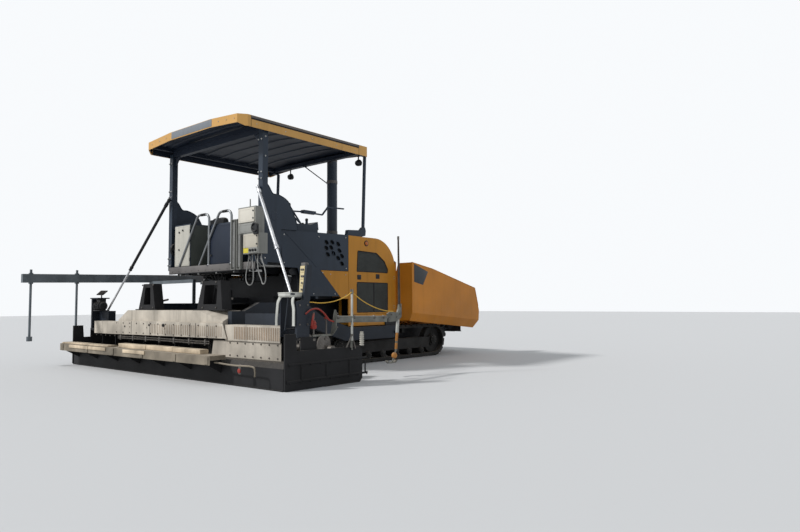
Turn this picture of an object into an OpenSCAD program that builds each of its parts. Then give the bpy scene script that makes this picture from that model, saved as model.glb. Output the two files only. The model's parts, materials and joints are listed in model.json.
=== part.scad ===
// Tracked asphalt paver with a wide fixed screed, in millimetres.
// +Y is the travel direction, +X the machine's right side, +Z up.
// The origin lies on the ground, at the middle of the screed's sole plate.

/* [Tractor] */
// Width of the tractor over its side panels
body_w = 2540; // [2400:10:2700]
// Width of one track shoe
track_w = 320; // [280:10:340]
// Place of the drive sprocket's axle, ahead of the screed's middle
track_rear_y = 2250; // [2150:10:2350]
// Distance between the axles of sprocket and idler
track_base = 2700; // [2500:10:2750]
// Height of the whole track loop
track_h = 640; // [600:10:650]
// Number of shoes on one track
shoe_count = 42; // [36:1:44]
// Height of a shoe with its rubber pad
shoe_t = 30; // [24:1:36]
// Thickness of the link chain under the shoes
chain_t = 34; // [26:1:40]
// Rear end of the main frame
frame_rear_y = 1350; // [1300:10:1400]
// Height of the conveyor floor
floor_z = 620; // [600:5:640]
// Height of the conveyor tunnels above their floor
tunnel_h = 460; // [400:10:480]
// Inside width of one conveyor tunnel
tunnel_w = 700; // [600:10:710]
// Width of the spine between the two tunnels
spine_w = 80; // [60:10:100]
// Thickness of the frame's side plates
frame_t = 30; // [20:5:40]

/* [Hopper] */
// Front face of the engine housing, where the hopper starts
hopper_y = 3780; // [3740:10:3800]
// Length of the hopper wings
hopper_l = 2290; // [2100:10:2400]
// Width over the open wings
hopper_w = 3200; // [3100:10:3400]
// Height of the wings at the rear
wing_rear_z = 1820; // [1700:10:1900]
// Height of the wings at the front
wing_front_z = 1370; // [1250:10:1450]
// Thickness of the hopper's plates
wing_t = 12; // [8:1:16]
// Height of the wings' hinge line
wing_hinge_z = 690; // [680:5:720]
// Distance of the wings' hinge line from the middle
wing_hinge_x = 880; // [860:5:900]
// Radius of the wings' hinge pins
hinge_pin_r = 16; // [12:1:20]
// Diameter of the push rollers
roller_d = 210; // [180:10:240]
// Length of one push roller
roller_l = 640; // [500:10:700]

/* [Housing] */
// Height of the engine housing's flat top
hood_z = 2250; // [2200:10:2300]
// Height of the operator's platform
deck_z = 1690; // [1640:10:1720]
// Rear edge of the operator's platform
deck_y = 520; // [480:10:560]
// Rear edge of the dark side panels
panel_y = 940; // [900:10:1000]
// Rear edge of the engine doors
door_y = 2450; // [2400:10:2500]
// Bottom edge of the yellow sill
skirt_z = 665; // [660:5:680]
// Bottom edge of the engine doors
door_z = 870; // [860:5:880]
// Thickness of doors and panels
panel_t = 20; // [12:1:24]
// Size of the vent holes in the dark panels
vent_r = 34; // [24:1:40]

/* [Roof] */
// Width of the roof
roof_w = 2760; // [2500:10:2800]
// Length of the roof
roof_l = 2790; // [2600:10:2900]
// Rear edge of the roof
roof_y = 130; // [50:10:150]
// Height of the roof's top
roof_z = 3900; // [3700:10:3950]
// Fall of the roof from its flat middle to its sides
roof_fall = 55; // [30:5:80]
// Height of the roof's yellow fascia
fascia_h = 130; // [110:5:150]
// Cut of the roof's corners
roof_cut = 110; // [80:10:140]
// Width of the thick rear posts
post_w = 100; // [80:5:120]
// Diameter of the thin front posts
post_d = 60; // [50:5:70]
// Diameter of the exhaust stack
stack_d = 196; // [160:4:210]

/* [Screed] */
// Width of the screed
screed_w = 5900; // [5600:20:6200]
// Width of its middle section
middle_w = 3000; // [2600:20:3200]
// Rear edge of the sole plates, behind the origin
sole_rear = 350; // [330:5:380]
// Front edge of the sole plates, ahead of the origin
sole_front = 210; // [190:5:230]
// Thickness of the sole plates
sole_t = 16; // [12:1:20]
// Height of the screed's lower box
screed_box_z = 330; // [300:5:350]
// Height of the screed's upper deck
screed_top_z = 970; // [940:5:1000]
// Thickness of the end gates
gate_t = 25; // [20:1:30]
// Length of the end gates
gate_l = 1350; // [1200:10:1450]
// Height of the end gates
gate_h = 480; // [420:10:520]
// Diameter of the augers
auger_d = 420; // [380:10:430]
// Length of one auger
auger_l = 2480; // [2300:10:2520]
// Pitch of the augers' flights
auger_pitch = 360; // [300:10:420]

/* [Linkage] */
// Distance of the tow pins behind the hopper's rear face
tow_back = 230; // [180:10:330]
// Height of the tow pins
tow_z = 540; // [520:5:550]
// Diameter of the tow pins
tow_pin_d = 70; // [50:2:80]
// Thickness of the tow arms
arm_t = 90; // [70:5:110]
// Bore radius of the lift cylinders' eyes
eye_r = 20; // [14:1:24]
// Diameter of the brace tubes
brace_d = 50; // [40:2:60]

/* [Hidden] */
$fn = 32;

// Running clearance at pins and seats
fit = 0.3;
side_x = body_w / 2;
tow_y = hopper_y - tow_back;
track_x = side_x - track_w / 2;
track_front_y = track_rear_y + track_base;
track_r = track_h / 2;
band_r = track_r - shoe_t;
wheel_r = band_r - chain_t - fit;
frame_front_y = hopper_y + hopper_l - 80;
tunnel_x = spine_w / 2 + tunnel_w;
frame_x = tunnel_x + frame_t;
tunnel_top = floor_z + tunnel_h;
belly_z = 380;
bulk_t = 36;
bulk_y = hopper_y - bulk_t;
bulk_z = 1830;
wing_x = hopper_w / 2;
wing_front_y = hopper_y + 20 + hopper_l;
wing_rear_y = hopper_y + 20;
push_pin_y = frame_front_y + 75;
push_y = push_pin_y + 215;
push_z = 520;
apron_y = frame_front_y + 34;
apron_z = 640;
apron_hinges = [-600, 0, 600];
post_x = side_x;
engine_top = hood_z - 300;
stack_x = 200;
stack_y = hopper_y - 690;
post_y = 560;
front_post_y = roof_y + roof_l - 70;
beam_top_z = roof_z - roof_fall - 50;
beam_low_z = beam_top_z - 50;
roof_sheet = 20;
// Half width of the roof's flat middle
roof_flat = 580;
// Eyes for the low loader's chains
tie_eye_x = 700;
tie_eye_y = frame_front_y + 60;
tie_eye_z = 360;
tie_eye_r = 30;
// Tow points: hanging plate, cross beam through the sill, and the tow arm beside it
tow_plate_t = 30;
beam_half = 90;
beam_top = track_h + 150;
arm_x = side_x + tow_plate_t + 10;
// Running gear
roller_r = 70;
conveyor_r = 88;
slat_pitch = 300;
// Knuckles of the hopper wings' hinges
knuckle_l = 260;
knuckles = 4;
knuckle_gap = (hopper_l - 120) / knuckles;
function knuckle_y(i) = wing_rear_y + 60 + i * knuckle_gap;
// Wing cylinder: its place along the hopper, chassis eye, wing eye and radii
wing_cyl_y = track_front_y + track_r + 290;
wing_base_eye = [frame_x + 100, wing_hinge_z - 210];
wing_eye = [wing_hinge_x + 270, wing_hinge_z - 5];
wing_cyl_d = wing_eye - wing_base_eye;
wing_cyl_l = norm(wing_cyl_d);
wing_cyl_a = atan2(wing_cyl_d[1], wing_cyl_d[0]);
wing_fork_r = 42;
// Housing
hood_y = door_y - 350;
door_hinge_y = hopper_y - 55;
door_hinge_z = [950, 1500];
door_pin_r = 7;
deck_x = post_x - post_w / 2 - fit;
rail_r = 19;
// Augers
auger_y = 830;
auger_z = 420;
// Lift cylinder: its distance from the middle, upper pin and lower pin
lift_x = 1150;
lift_high = [frame_rear_y - 120, 1570];
lift_low = [1090, 790];
lift_d = lift_low - lift_high;
lift_l = norm(lift_d);
lift_a = atan2(lift_d[1], lift_d[0]);
// Screed: half length of its box, the deck that carries the uprights, the tray
screed_half = screed_w / 2 - gate_t - 20;
rib_top = 640;
upright_x = screed_half - 15;
tray_z = 1190;
cover_rear = -150;
cover_front = 200;
step_x = screed_w / 2 - 365;
foot_deck_x = -screed_w / 2 + 100;
foot_deck_l = screed_w / 2 + 1650;
// Sensor rig at the right end: its line beside the gate
rig_x = screed_w / 2 + 20;
// Braces between the rear posts and the screed's ends: upper ball, lower end
brace_ball = 30;
brace_rod_r = brace_d / 2 - 8;
brace_end_r = 22;
brace_high_l = [-side_x + 10, post_y - 40, 2900];
brace_low_l = [-upright_x + 290, 120, 950 + brace_end_r + fit];
brace_high_r = [side_x - 10, post_y - 40, 2820];
brace_low_r = [upright_x - 190, -60, tray_z + brace_end_r + fit];
// Levelling beam at the left side
beam_x = -screed_w / 2 - 20;
beam_y0 = -1200;
beam_y1 = 5200;
beam_z0 = 1450;
beam_rise = 140;
beam_deep = 150;
function beam_low(y) = beam_z0 + beam_rise * (y - beam_y0) / (beam_y1 - beam_y0);
// Routes of the loose cords, from end to end
rope_route = [for (p = [[-92, 94, 1078], [-92, 112, 1078],
    [-80, 145, 1077], [-65, 190, 1071], [-50, 235, 1068], [-36, 280, 1068], [-24, 325, 1071], [-14, 370, 1076],
    [-7, 415, 1083], [-2, 460, 1091], [0, 505, 1101], [0, 550, 1113], [0, 595, 1127], [0, 640, 1143],
    [0, 685, 1161], [0, 725, 1180], [0, 755, 1199], [0, 780, 1206], [0, 805, 1199], [0, 840, 1177],
    [0, 880, 1152], [0, 920, 1129], [0, 960, 1108], [0, 1000, 1089], [0, 1040, 1071], [0, 1080, 1055],
    [0, 1120, 1040], [0, 1160, 1026], [0, 1200, 1013], [0, 1240, 1001], [0, 1280, 990], [0, 1320, 980],
    [0, 1360, 971], [0, 1400, 963], [0, 1440, 956], [0, 1480, 950], [0, 1520, 946], [0, 1560, 943],
    [0, 1600, 939.6], [0, 1638, 937]])
    p + [rig_x, 0, 0]];
cable_left_route = [
    [1110, 480, 1802], [1110, 480, 1760], [1098, 480, 1700], [1080, 480, 1640], [1060, 480, 1580],
    [1044, 480, 1520], [1038, 480, 1460], [1050, 480, 1405], [1082, 480, 1362], [1125, 480, 1342],
    [1168, 480, 1348], [1200, 480, 1380], [1218, 480, 1430], [1222, 480, 1490], [1218, 480, 1550],
    [1210, 480, 1610], [1202, 480, 1670], [1198, 480, 1730], [1198, 480, 1802]];
cable_right_route = [
    [1410, 480, 1802], [1410, 480, 1755], [1430, 480, 1700], [1458, 480, 1645], [1484, 480, 1590],
    [1502, 480, 1535], [1512, 480, 1475], [1512, 480, 1420], [1500, 480, 1378], [1480, 480, 1355],
    [1455, 480, 1350], [1432, 480, 1366], [1416, 480, 1402], [1396, 480, 1440], [1370, 480, 1482],
    [1346, 480, 1535], [1330, 480, 1595], [1323, 480, 1660], [1322, 480, 1730], [1322, 480, 1802]];

// A box given by its lowest and highest corners
module box(a, b) {
    translate(a) cube(b - a);
}

// Both sides of a thing that is drawn on the right side
module both() {
    children();
    mirror([1, 0, 0]) children();
}

// An outline in Y and Z, from x = x0 on, t thick along X
module slab_x(x0, t) {
    translate([x0, 0, 0]) rotate([90, 0, 90]) linear_extrude(t) children();
}

// An outline in X and Z, from y = y0 on, t thick along Y
module slab_y(y0, t) {
    translate([0, y0 + t, 0]) rotate([90, 0, 0]) linear_extrude(t) children();
}

// A frame at p whose Z axis points to q
module along(p, q) {
    d = q - p;
    translate(p) rotate([0, acos(d[2] / norm(d)), atan2(d[1], d[0])]) children();
}

// A straight round rod from p to q
module rod(p, q, r) {
    along(p, q) cylinder(h = norm(q - p), r = r);
}

// A round bar along X
module rod_x(x0, x1, y, z, r) {
    translate([x0, y, z]) rotate([0, 90, 0]) cylinder(h = x1 - x0, r = r);
}

// A round bar along Y
module rod_y(x, y0, y1, z, r) {
    translate([x, y0, z]) rotate([-90, 0, 0]) cylinder(h = y1 - y0, r = r);
}

// The main frame: two side plates, a spine, the conveyor floor, belly plate and front beams
module chassis() color("dimgray") {
    union() {
        both() box([tunnel_x, frame_rear_y, belly_z], [frame_x, bulk_y - fit, tunnel_top]);
        both() box([tunnel_x, frame_rear_y, belly_z], [frame_x, frame_front_y, floor_z + 30]);
        box([-spine_w / 2, frame_rear_y, belly_z], [spine_w / 2, frame_front_y, floor_z + 110]);
        box([-spine_w / 2, frame_rear_y, belly_z], [spine_w / 2, bulk_y - fit, tunnel_top - roof_sheet]);
        box([-tunnel_x, frame_rear_y + 110, floor_z - 20], [tunnel_x, frame_front_y - 64 - conveyor_r, floor_z]);
        box([-frame_x, frame_rear_y + 400, belly_z - 60], [frame_x, frame_front_y - 700, belly_z]);
        box([-frame_x, frame_front_y - 60, belly_z - 60], [frame_x, frame_front_y, belly_z + 40]);
        box([-frame_x, frame_front_y - 40, floor_z - 70], [frame_x, frame_front_y, floor_z - 10]);
    }
}

// Sheet that closes the conveyor tunnels above, under the engine
module tunnel_roof() color("dimgray") {
    box([-tunnel_x + fit, frame_rear_y, tunnel_top - roof_sheet], [tunnel_x - fit, bulk_y - fit, tunnel_top]);
}

// Right half of the cross frames: rear post, outer rail and its two bearers
module cross_frame() {
    rail_x = side_x - 300;
    box([tunnel_x, frame_rear_y, tunnel_top], [frame_x, frame_rear_y + 120, deck_z - 60]);
    box([rail_x - 30, frame_rear_y, tunnel_top + 60], [rail_x, hopper_y - 60, tunnel_top + 90]);
    box([frame_x, frame_rear_y, tunnel_top + 60], [rail_x, frame_rear_y + 60, tunnel_top + 160]);
    for (y = [hopper_y - 780, bulk_y - 100]) box([frame_x, y, tunnel_top - 120], [rail_x, y + 90, tunnel_top + 90]);
    lift_bracket();
}

// Frames that stand on the side plates and carry platform, panels and lift cylinders
module cross_frames() color([0.12, 0.13, 0.15]) {
    both() cross_frame();
    box([-tunnel_x - 1, frame_rear_y + 40, tunnel_top], [tunnel_x + 1, frame_rear_y + 52, deck_z - 170]);
}

// What is welded to the frame: tow points, the forks of beam and wing cylinders, ears and tie eyes
module frame_brackets() color("dimgray") {
    push_bracket();
    for (x = apron_hinges) apron_bracket(x);
    both() tie_eye();
    both() tow_bracket();
    both() wing_bracket();
}

// Tie-down eye on the frame's front beam
module tie_eye() {
    difference() {
        slab_x(tie_eye_x - 15, 30) union() {
            translate([tie_eye_y, tie_eye_z]) circle(r = 50);
            translate([frame_front_y, tie_eye_z - 40]) square([60, 90]);
        }
        rod_x(tie_eye_x - 20, tie_eye_x + 20, tie_eye_y, tie_eye_z, tie_eye_r);
    }
}

// Bracket that hangs over the track and holds the tow pin
module tow_bracket() {
    slab_x(side_x + 2, tow_plate_t - 2) polygon([
        [tow_y - 110, tow_z - 100], [tow_y + 110, tow_z - 100], [tow_y + 160, tow_z + 40],
        [tow_y + 160, beam_top + 40], [tow_y - 160, beam_top + 40], [tow_y - 160, tow_z + 40]]);
    box([side_x - 320, tow_y - beam_half, beam_top - 90], [side_x + 10, tow_y + beam_half, beam_top]);
    box([frame_x, tow_y - beam_half, beam_top - 90], [side_x - 310, tow_y + beam_half, tunnel_top - 60]);
    rod_x(side_x + 20, arm_x + arm_t + 30, tow_y, tow_z, tow_pin_d / 2);
}

// Outline of a track: the chain and its shoes
module track_outline() {
    shoe_pitch = (2 * track_base + 2 * PI * band_r) / shoe_count;
    difference() {
        union() {
            translate([track_rear_y, track_r]) circle(r = band_r, $fn = 48);
            translate([track_front_y, track_r]) circle(r = band_r, $fn = 48);
            translate([track_rear_y, shoe_t]) square([track_base, 2 * band_r]);
            for (i = [0 : shoe_count - 1]) track_shoe(i * shoe_pitch, shoe_pitch * 0.86);
        }
        translate([track_rear_y, track_r]) circle(r = band_r - chain_t, $fn = 48);
        translate([track_front_y, track_r]) circle(r = band_r - chain_t, $fn = 48);
        translate([track_rear_y, shoe_t + chain_t]) square([track_base, 2 * (band_r - chain_t)]);
    }
}

// One shoe at a distance s along the loop, which starts under the sprocket
module track_shoe(s, w) {
    turn = PI * band_r;
    lift = track_r - sqrt(pow(track_r, 2) - pow(w / 2 - 8, 2));
    if (s < track_base)
        translate([track_rear_y + s, 0]) shoe_shape(w);
    else if (s < track_base + turn)
        translate([track_front_y, track_r]) rotate((s - track_base) / band_r * 180 / PI)
            translate([0, lift - track_r]) shoe_shape(w);
    else if (s < 2 * track_base + turn)
        translate([track_front_y - (s - track_base - turn), 2 * track_r]) rotate(180) shoe_shape(w);
    else
        translate([track_rear_y, track_r]) rotate(180 + (s - 2 * track_base - turn) / band_r * 180 / PI)
            translate([0, lift - track_r]) shoe_shape(w);
}

module shoe_shape(w) {
    polygon([[-w / 2 + 8, 0], [w / 2 - 8, 0], [w / 2, 10], [w / 2, shoe_t + 4], [-w / 2, shoe_t + 4], [-w / 2, 10]]);
}

module track() color([0.10, 0.10, 0.11]) {
    slab_x(track_x - track_w / 2, track_w) track_outline();
}

// Side frame of a track with sprocket, idler and rollers
module track_frame() {
    beam_z = shoe_t + chain_t + 2 * roller_r + 15;
    slab_x(track_x - 95, 190) union() {
        translate([track_rear_y + 120, beam_z - 40]) square([track_base - 240, 190]);
        translate([track_rear_y, track_r]) circle(r = 120);
        translate([track_front_y, track_r]) circle(r = 120);
        translate([track_rear_y, track_r - 60]) square([track_base, 120]);
    }
    for (y = [track_rear_y, track_front_y]) {
        rod_x(track_x - 60, track_x + 60, y, track_r, wheel_r);
        rod_x(track_x - 110, track_x + 110, y, track_r, 90);
    }
    rod_x(track_x + 50, track_x + 130, track_rear_y, track_r, 130);
    for (i = [0 : 5])
        rod_x(track_x - 110, track_x + 110, track_rear_y + 380 + i * (track_base - 760) / 5,
            shoe_t + chain_t + fit + roller_r, roller_r);
    for (y = [track_rear_y + 900, track_front_y - 900])
        rod_x(track_x - 60, track_x + 60, y, track_h - shoe_t - chain_t - fit - 45, 45);
    // Brackets to the main frame
    for (y = [track_rear_y + 500, track_front_y - 700])
        box([frame_x, y, beam_z], [track_x - 90, y + 200, beam_z + 120]);
}

module track_frames() color([0.18, 0.19, 0.20]) {
    both() track_frame();
}

// Two slat conveyors: chains along the tunnel's sides with cross slats
module conveyor() {
    y0 = frame_rear_y + 10;
    y1 = frame_front_y - 60;
    top = floor_z + 26;
    low = top - 2 * conveyor_r;
    slats = floor((y1 - y0 - 2 * conveyor_r) / slat_pitch);
    x0 = spine_w / 2 + 12;
    x1 = tunnel_x - 12;
    for (x = [x0, x1 - 36]) slab_x(x, 36) difference() {
        union() {
            translate([y0 + conveyor_r, top - conveyor_r]) circle(r = conveyor_r);
            translate([y1 - conveyor_r, top - conveyor_r]) circle(r = conveyor_r);
            translate([y0 + conveyor_r, low]) square([y1 - y0 - 2 * conveyor_r, 2 * conveyor_r]);
        }
        translate([y0 + conveyor_r, low + 24]) square([y1 - y0 - 2 * conveyor_r, 2 * conveyor_r - 48]);
    }
    for (i = [0 : slats]) {
        y = y0 + conveyor_r + i * slat_pitch;
        box([x0, y, floor_z + 4], [x1, y + 45, top + 14]);
        box([x0, y, low - 14], [x1, y + 45, low + 20]);
    }
    for (y = [y0 + conveyor_r, y1 - conveyor_r]) {
        rod_x(x0, x1, y, top - conveyor_r, 40);
        rod_x(spine_w / 2 + fit, tunnel_x - fit, y, top - conveyor_r, 30);
    }
}

module conveyors() color([0.25, 0.24, 0.23]) {
    both() conveyor();
}

// The engine, as one plain block on the frame
module engine() color([0.3, 0.32, 0.33]) {
    box([-620, door_y - 200, tunnel_top], [620, hopper_y - 430, engine_top]);
}

// Fixed part of the hopper: bulkhead, flanks and hinge pins of the wings
module hopper_base() color("goldenrod") {
    slab_y(bulk_y, bulk_t) difference() {
        polygon([[-side_x + 40, track_h + 60], [-frame_x - 1, track_h + 60], [-frame_x - 1, floor_z],
            [frame_x + 1, floor_z], [frame_x + 1, track_h + 60], [side_x - 40, track_h + 60],
            [side_x - 40, bulk_z], [-side_x + 40, bulk_z]]);
        translate([-tunnel_x, floor_z - 1]) square([2 * tunnel_x, tunnel_h - 19]);
        translate([-frame_x - 2, floor_z - 1]) square([2 * frame_x + 4, 32]);
    }
    both() hopper_flank();
    both() door_pins();
}

// Hinge pins of the engine door on the bulkhead's edge
module door_pins() {
    for (z = door_hinge_z) {
        translate([side_x - 14, door_hinge_y, z - 40]) cylinder(h = 160, r = door_pin_r);
        for (dz = [-36, 86]) box([side_x - 60, door_hinge_y - 8, z + dz], [side_x - 8, hopper_y - 30, z + dz + 30]);
    }
}

module hopper_flank() {
    y0 = hopper_y - 10;
    slab_y(y0, frame_front_y - y0) polygon([
        [frame_x, floor_z - 30], [frame_x + 12, floor_z - 30],
        [frame_x + 12, floor_z + 12], [wing_hinge_x - 34, wing_hinge_z - 34],
        [wing_hinge_x - 34, wing_hinge_z - 18], [frame_x, floor_z + 34]]);
    rod_y(wing_hinge_x, wing_rear_y, apron_y - 14, wing_hinge_z, hinge_pin_r);
    for (i = [0 : knuckles]) {
        y = knuckle_y(i) - (i == 0 ? 50 : 60);
        slab_y(y, i == 0 ? 44 : i == knuckles ? 40 : 100) union() {
            translate([wing_hinge_x, wing_hinge_z]) circle(r = 30);
            polygon([[wing_hinge_x - 30, wing_hinge_z], [wing_hinge_x, wing_hinge_z - 30],
                [frame_x + 6, floor_z - 20], [frame_x + 6, floor_z + 20]]);
        }
    }
}

// Right hopper wing: floor, skirt, outer wall and rear end plate on hinge knuckles
module hopper_wing() {
    y0 = wing_rear_y;
    y1 = wing_front_y;
    knee = 0.28;
    difference() {
        union() {
            slab_x(wing_x - wing_t, wing_t) polygon([
                [y0, 880], [y0, wing_rear_z], [y0 + knee * (y1 - y0), wing_rear_z - 100],
                [y1 - 150, wing_front_z], [y1, 900], [y1 - 20, 690]]);
            slab_y(y0, wing_t) polygon([
                [wing_hinge_x + 40, wing_hinge_z + 12], [wing_x - 90, 735], [wing_x - 1, 880],
                [wing_x - 1, wing_rear_z - 1], [side_x - 10, wing_rear_z - 1]]);
            // Floor of the wing
            slab_y(y0, apron_y - 20 - y0) polygon([
                [wing_hinge_x + 38, wing_hinge_z + 4], [wing_hinge_x + 38, wing_hinge_z + 4 + wing_t],
                [wing_x - 120, 800 + wing_t], [wing_x - 1, 900 + wing_t],
                [wing_x - 1, 900], [wing_x - 120, 800]]);
            wing_skirt(y0, y1);
            for (i = [0 : knuckles - 1]) {
                y = knuckle_y(i) + (knuckle_gap - knuckle_l) / 2;
                slab_y(y, knuckle_l) union() {
                    translate([wing_hinge_x, wing_hinge_z]) circle(r = 30);
                    translate([wing_hinge_x, wing_hinge_z - 2]) square([60, 26]);
                }
            }
            wing_lug();
        }
        rod_y(wing_hinge_x, y0 - 10, y1 + 10, wing_hinge_z, hinge_pin_r + fit);
    }
}

// The skirt below the wing's crease, tucked in towards the frame
module wing_skirt(y0, y1) {
    function tuck_x(y, z) = wing_x - 0.47 * (880 - 190 * (y - y0) / (y1 - 20 - y0) - z);
    pts = [[wing_x, y0, 880], [wing_x, y1 - 20, 690], [tuck_x(y1 - 130, 530), y1 - 130, 530], [tuck_x(y0, 730), y0, 730]];
    all = concat(pts, [for (p = pts) p - [wing_t, 0, 0]]);
    polyhedron(all, [[0, 1, 2, 3], [7, 6, 5, 4], [0, 4, 5, 1], [1, 5, 6, 2], [2, 6, 7, 3], [3, 7, 4, 0]]);
}

// Ears and pin under the wing's floor for its cylinder's rod
module wing_lug() {
    for (y = [wing_cyl_y - 50, wing_cyl_y + 30]) slab_y(y, 20) union() {
        translate(wing_eye) circle(r = 38);
        translate(wing_eye) polygon([[-38, 0], [38, 0], [38, 66], [-38, 52]]);
    }
    rod_y(wing_eye[0], wing_cyl_y - 50, wing_cyl_y + 50, wing_eye[1], eye_r);
}

// Fork and pin on the frame for the wing cylinder's barrel
module wing_bracket() {
    for (y = [wing_cyl_y - 50, wing_cyl_y + 30]) slab_y(y, 20) union() {
        translate(wing_base_eye) circle(r = wing_fork_r);
        translate([frame_x, wing_base_eye[1] - wing_fork_r])
            square([wing_base_eye[0] - frame_x, 2 * wing_fork_r]);
    }
    rod_y(wing_base_eye[0], wing_cyl_y - 50, wing_cyl_y + 50, wing_base_eye[1], eye_r);
}

module wing_barrel() color("silver") {
    translate([wing_base_eye[0], wing_cyl_y, wing_base_eye[1]]) rotate([0, -wing_cyl_a, 0]) difference() {
        union() {
            rod_y(0, -25, 25, 0, 38);
            rod_x(30, 60, 0, 0, 18);
            rod_x(54, wing_cyl_l * 0.66, 0, 0, 38);
        }
        rod_x(80, wing_cyl_l, 0, 0, 20 + fit);
        rod_y(0, -30, 30, 0, eye_r + fit);
    }
}

// Its eye is bored wider than the pin, because the wing's arc is a little rounder than the cylinder's
module wing_rod() color("lightgray") {
    translate([wing_base_eye[0], wing_cyl_y, wing_base_eye[1]]) rotate([0, -wing_cyl_a, 0]) difference() {
        union() {
            rod_y(wing_cyl_l, -25, 25, 0, 36);
            rod_x(wing_cyl_l * 0.3, wing_cyl_l - 20, 0, 0, 20);
        }
        rod_y(wing_cyl_l, -30, 30, 0, eye_r + 9);
    }
}

// Low flap that closes the hopper's front between the wings
module hopper_apron() color("goldenrod") {
    slab_y(apron_y - 6, 12) polygon([[-830, apron_z + 30], [830, apron_z + 30], [830, apron_z + 110],
        [1150, 980], [-1150, 980], [-830, apron_z + 110]]);
    for (x = apron_hinges) difference() {
        union() {
            rod_x(x - 60, x + 60, apron_y, apron_z, 24);
            box([x - 60, apron_y - 6, apron_z], [x + 60, apron_y + 6, apron_z + 40]);
        }
        rod_x(x - 61, x + 61, apron_y, apron_z, 12 + fit);
    }
}

// Ears and pin of one apron hinge on the frame's front
module apron_bracket(x) {
    rod_x(x - 82, x + 82, apron_y, apron_z, 12);
    for (x0 = [x - 82, x + 62]) slab_x(x0, 20) polygon([
        [frame_front_y, floor_z - 50], [apron_y + 16, apron_z - 20], [apron_y + 16, apron_z + 16],
        [apron_y - 16, apron_z + 16], [frame_front_y, floor_z - 15]]);
}

// Fork and pin that the push beam swings on
module push_bracket() {
    for (z = [push_z - 86, push_z + 56]) translate([0, 0, z]) linear_extrude(30) union() {
        translate([0, push_pin_y]) circle(r = 60);
        translate([-60, frame_front_y]) square([120, push_pin_y - frame_front_y]);
    }
    translate([0, push_pin_y, push_z - 86]) cylinder(h = 172, r = 38);
}

// Swinging beam with the two push rollers' plates and pins
module push_beam() color([0.16, 0.17, 0.18]) {
    y = push_pin_y;
    difference() {
        union() {
            box([-1080, y + 65, push_z - 90], [1080, y + 90, push_z + 90]);
            box([-1080, y + 65, push_z - 90], [1080, y + 110, push_z - 75]);
            for (x = [140, 160 + roller_l + 40]) both() slab_x(x, 20) polygon([
                [y + 66, push_z - 90], [push_y + 20, push_z - 50], [push_y + 20, push_z + 50],
                [y + 66, push_z + 90]]);
            box([-55, y, push_z - 55], [55, y + 70, push_z + 55]);
            translate([0, y, push_z - 55]) cylinder(h = 110, r = 55);
        }
        translate([0, y, push_z - 60]) cylinder(h = 120, r = 38 + fit);
    }
    both() rod_x(150, 170 + roller_l + 40, push_y, push_z, 24);
}

// Right push roller, bored for its pin
module push_roller() color("gray") {
    difference() {
        union() {
            rod_x(180, 180 + roller_l, push_y, push_z, roller_d / 2);
            rod_x(160 + fit, 200 + roller_l - fit, push_y, push_z, 45);
        }
        rod_x(150, 210 + roller_l, push_y, push_z, 24 + fit);
    }
}

// Outline of the hood's sheet: rear wall, flat top and the rounded front
module hood_outline() {
    bend_y = hopper_y - 980;
    polygon([[hood_y, hood_z - 10], [bend_y, hood_z - 10], [bend_y + 350, hood_z - 75], [bend_y + 680, hood_z - 230],
        [bend_y + 880, hood_z - 385], [hopper_y - 10, bulk_z + fit], [bulk_y, bulk_z + fit], [bend_y + 860, hood_z - 405],
        [bend_y + 660, hood_z - 255], [bend_y + 340, hood_z - 98], [bend_y, hood_z - 32], [hood_y + 20, hood_z - 32],
        [hood_y + 20, deck_z + fit], [hood_y, deck_z + fit]]);
}

// Engine housing: the top cover between the panels and doors
module hood() color([0.16, 0.20, 0.25]) {
    w = side_x - panel_t - 5;
    difference() {
        union() {
            slab_x(-w, 2 * w) hood_outline();
            slab_x(-side_x + panel_t + fit, 2 * (side_x - panel_t - fit)) intersection() {
                hood_outline();
                translate([hood_y, deck_z]) square([door_y - 20 - hood_y, hood_z - deck_z]);
            }
        }
        translate([stack_x, stack_y, engine_top]) cylinder(h = 600, r = stack_d / 2 + fit);
    }
}

// Dark panel beside the platform and the engine's rear, with its oval vent holes
module side_panel() {
    difference() {
        slab_x(side_x - panel_t, panel_t) polygon([
            [panel_y, hood_z - 40], [door_y - 6, hood_z - 4], [door_y - 6, 1615], [1790, 1615], [2236, 1180],
            [1560, 1180], [1400, 1400], [1300, deck_z - 60], [panel_y + 60, deck_z - 60]]);
        for (r = [[1930, 2080], [2060, 2090], [1925, 1985], [2035, 2000], [2200, 2070], [1960, 1880],
            [2090, 1905], [2230, 1960], [2200, 1830], [2290, 1870], [2290, 1740]])
            slab_x(side_x - panel_t - 1, panel_t + 2) translate(r) rotate(-30) scale([1.5, 1]) circle(r = vent_r);
        // Slanting joint between the two sheets
        slab_x(side_x - 4, 5) polygon([[1010, 2176], [1024, 2186], [1706, 1656], [1692, 1644]]);
    }
    // Rail that the panel is bolted to
    box([side_x - 300, 1700, tunnel_top + 60], [side_x - panel_t, 1760, tunnel_top + 150]);
    box([side_x - panel_t - 60, 1700, tunnel_top + 60], [side_x - panel_t, 1760, 1300]);
}

module side_panels() color([0.18, 0.23, 0.29]) {
    both() side_panel();
}

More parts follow.
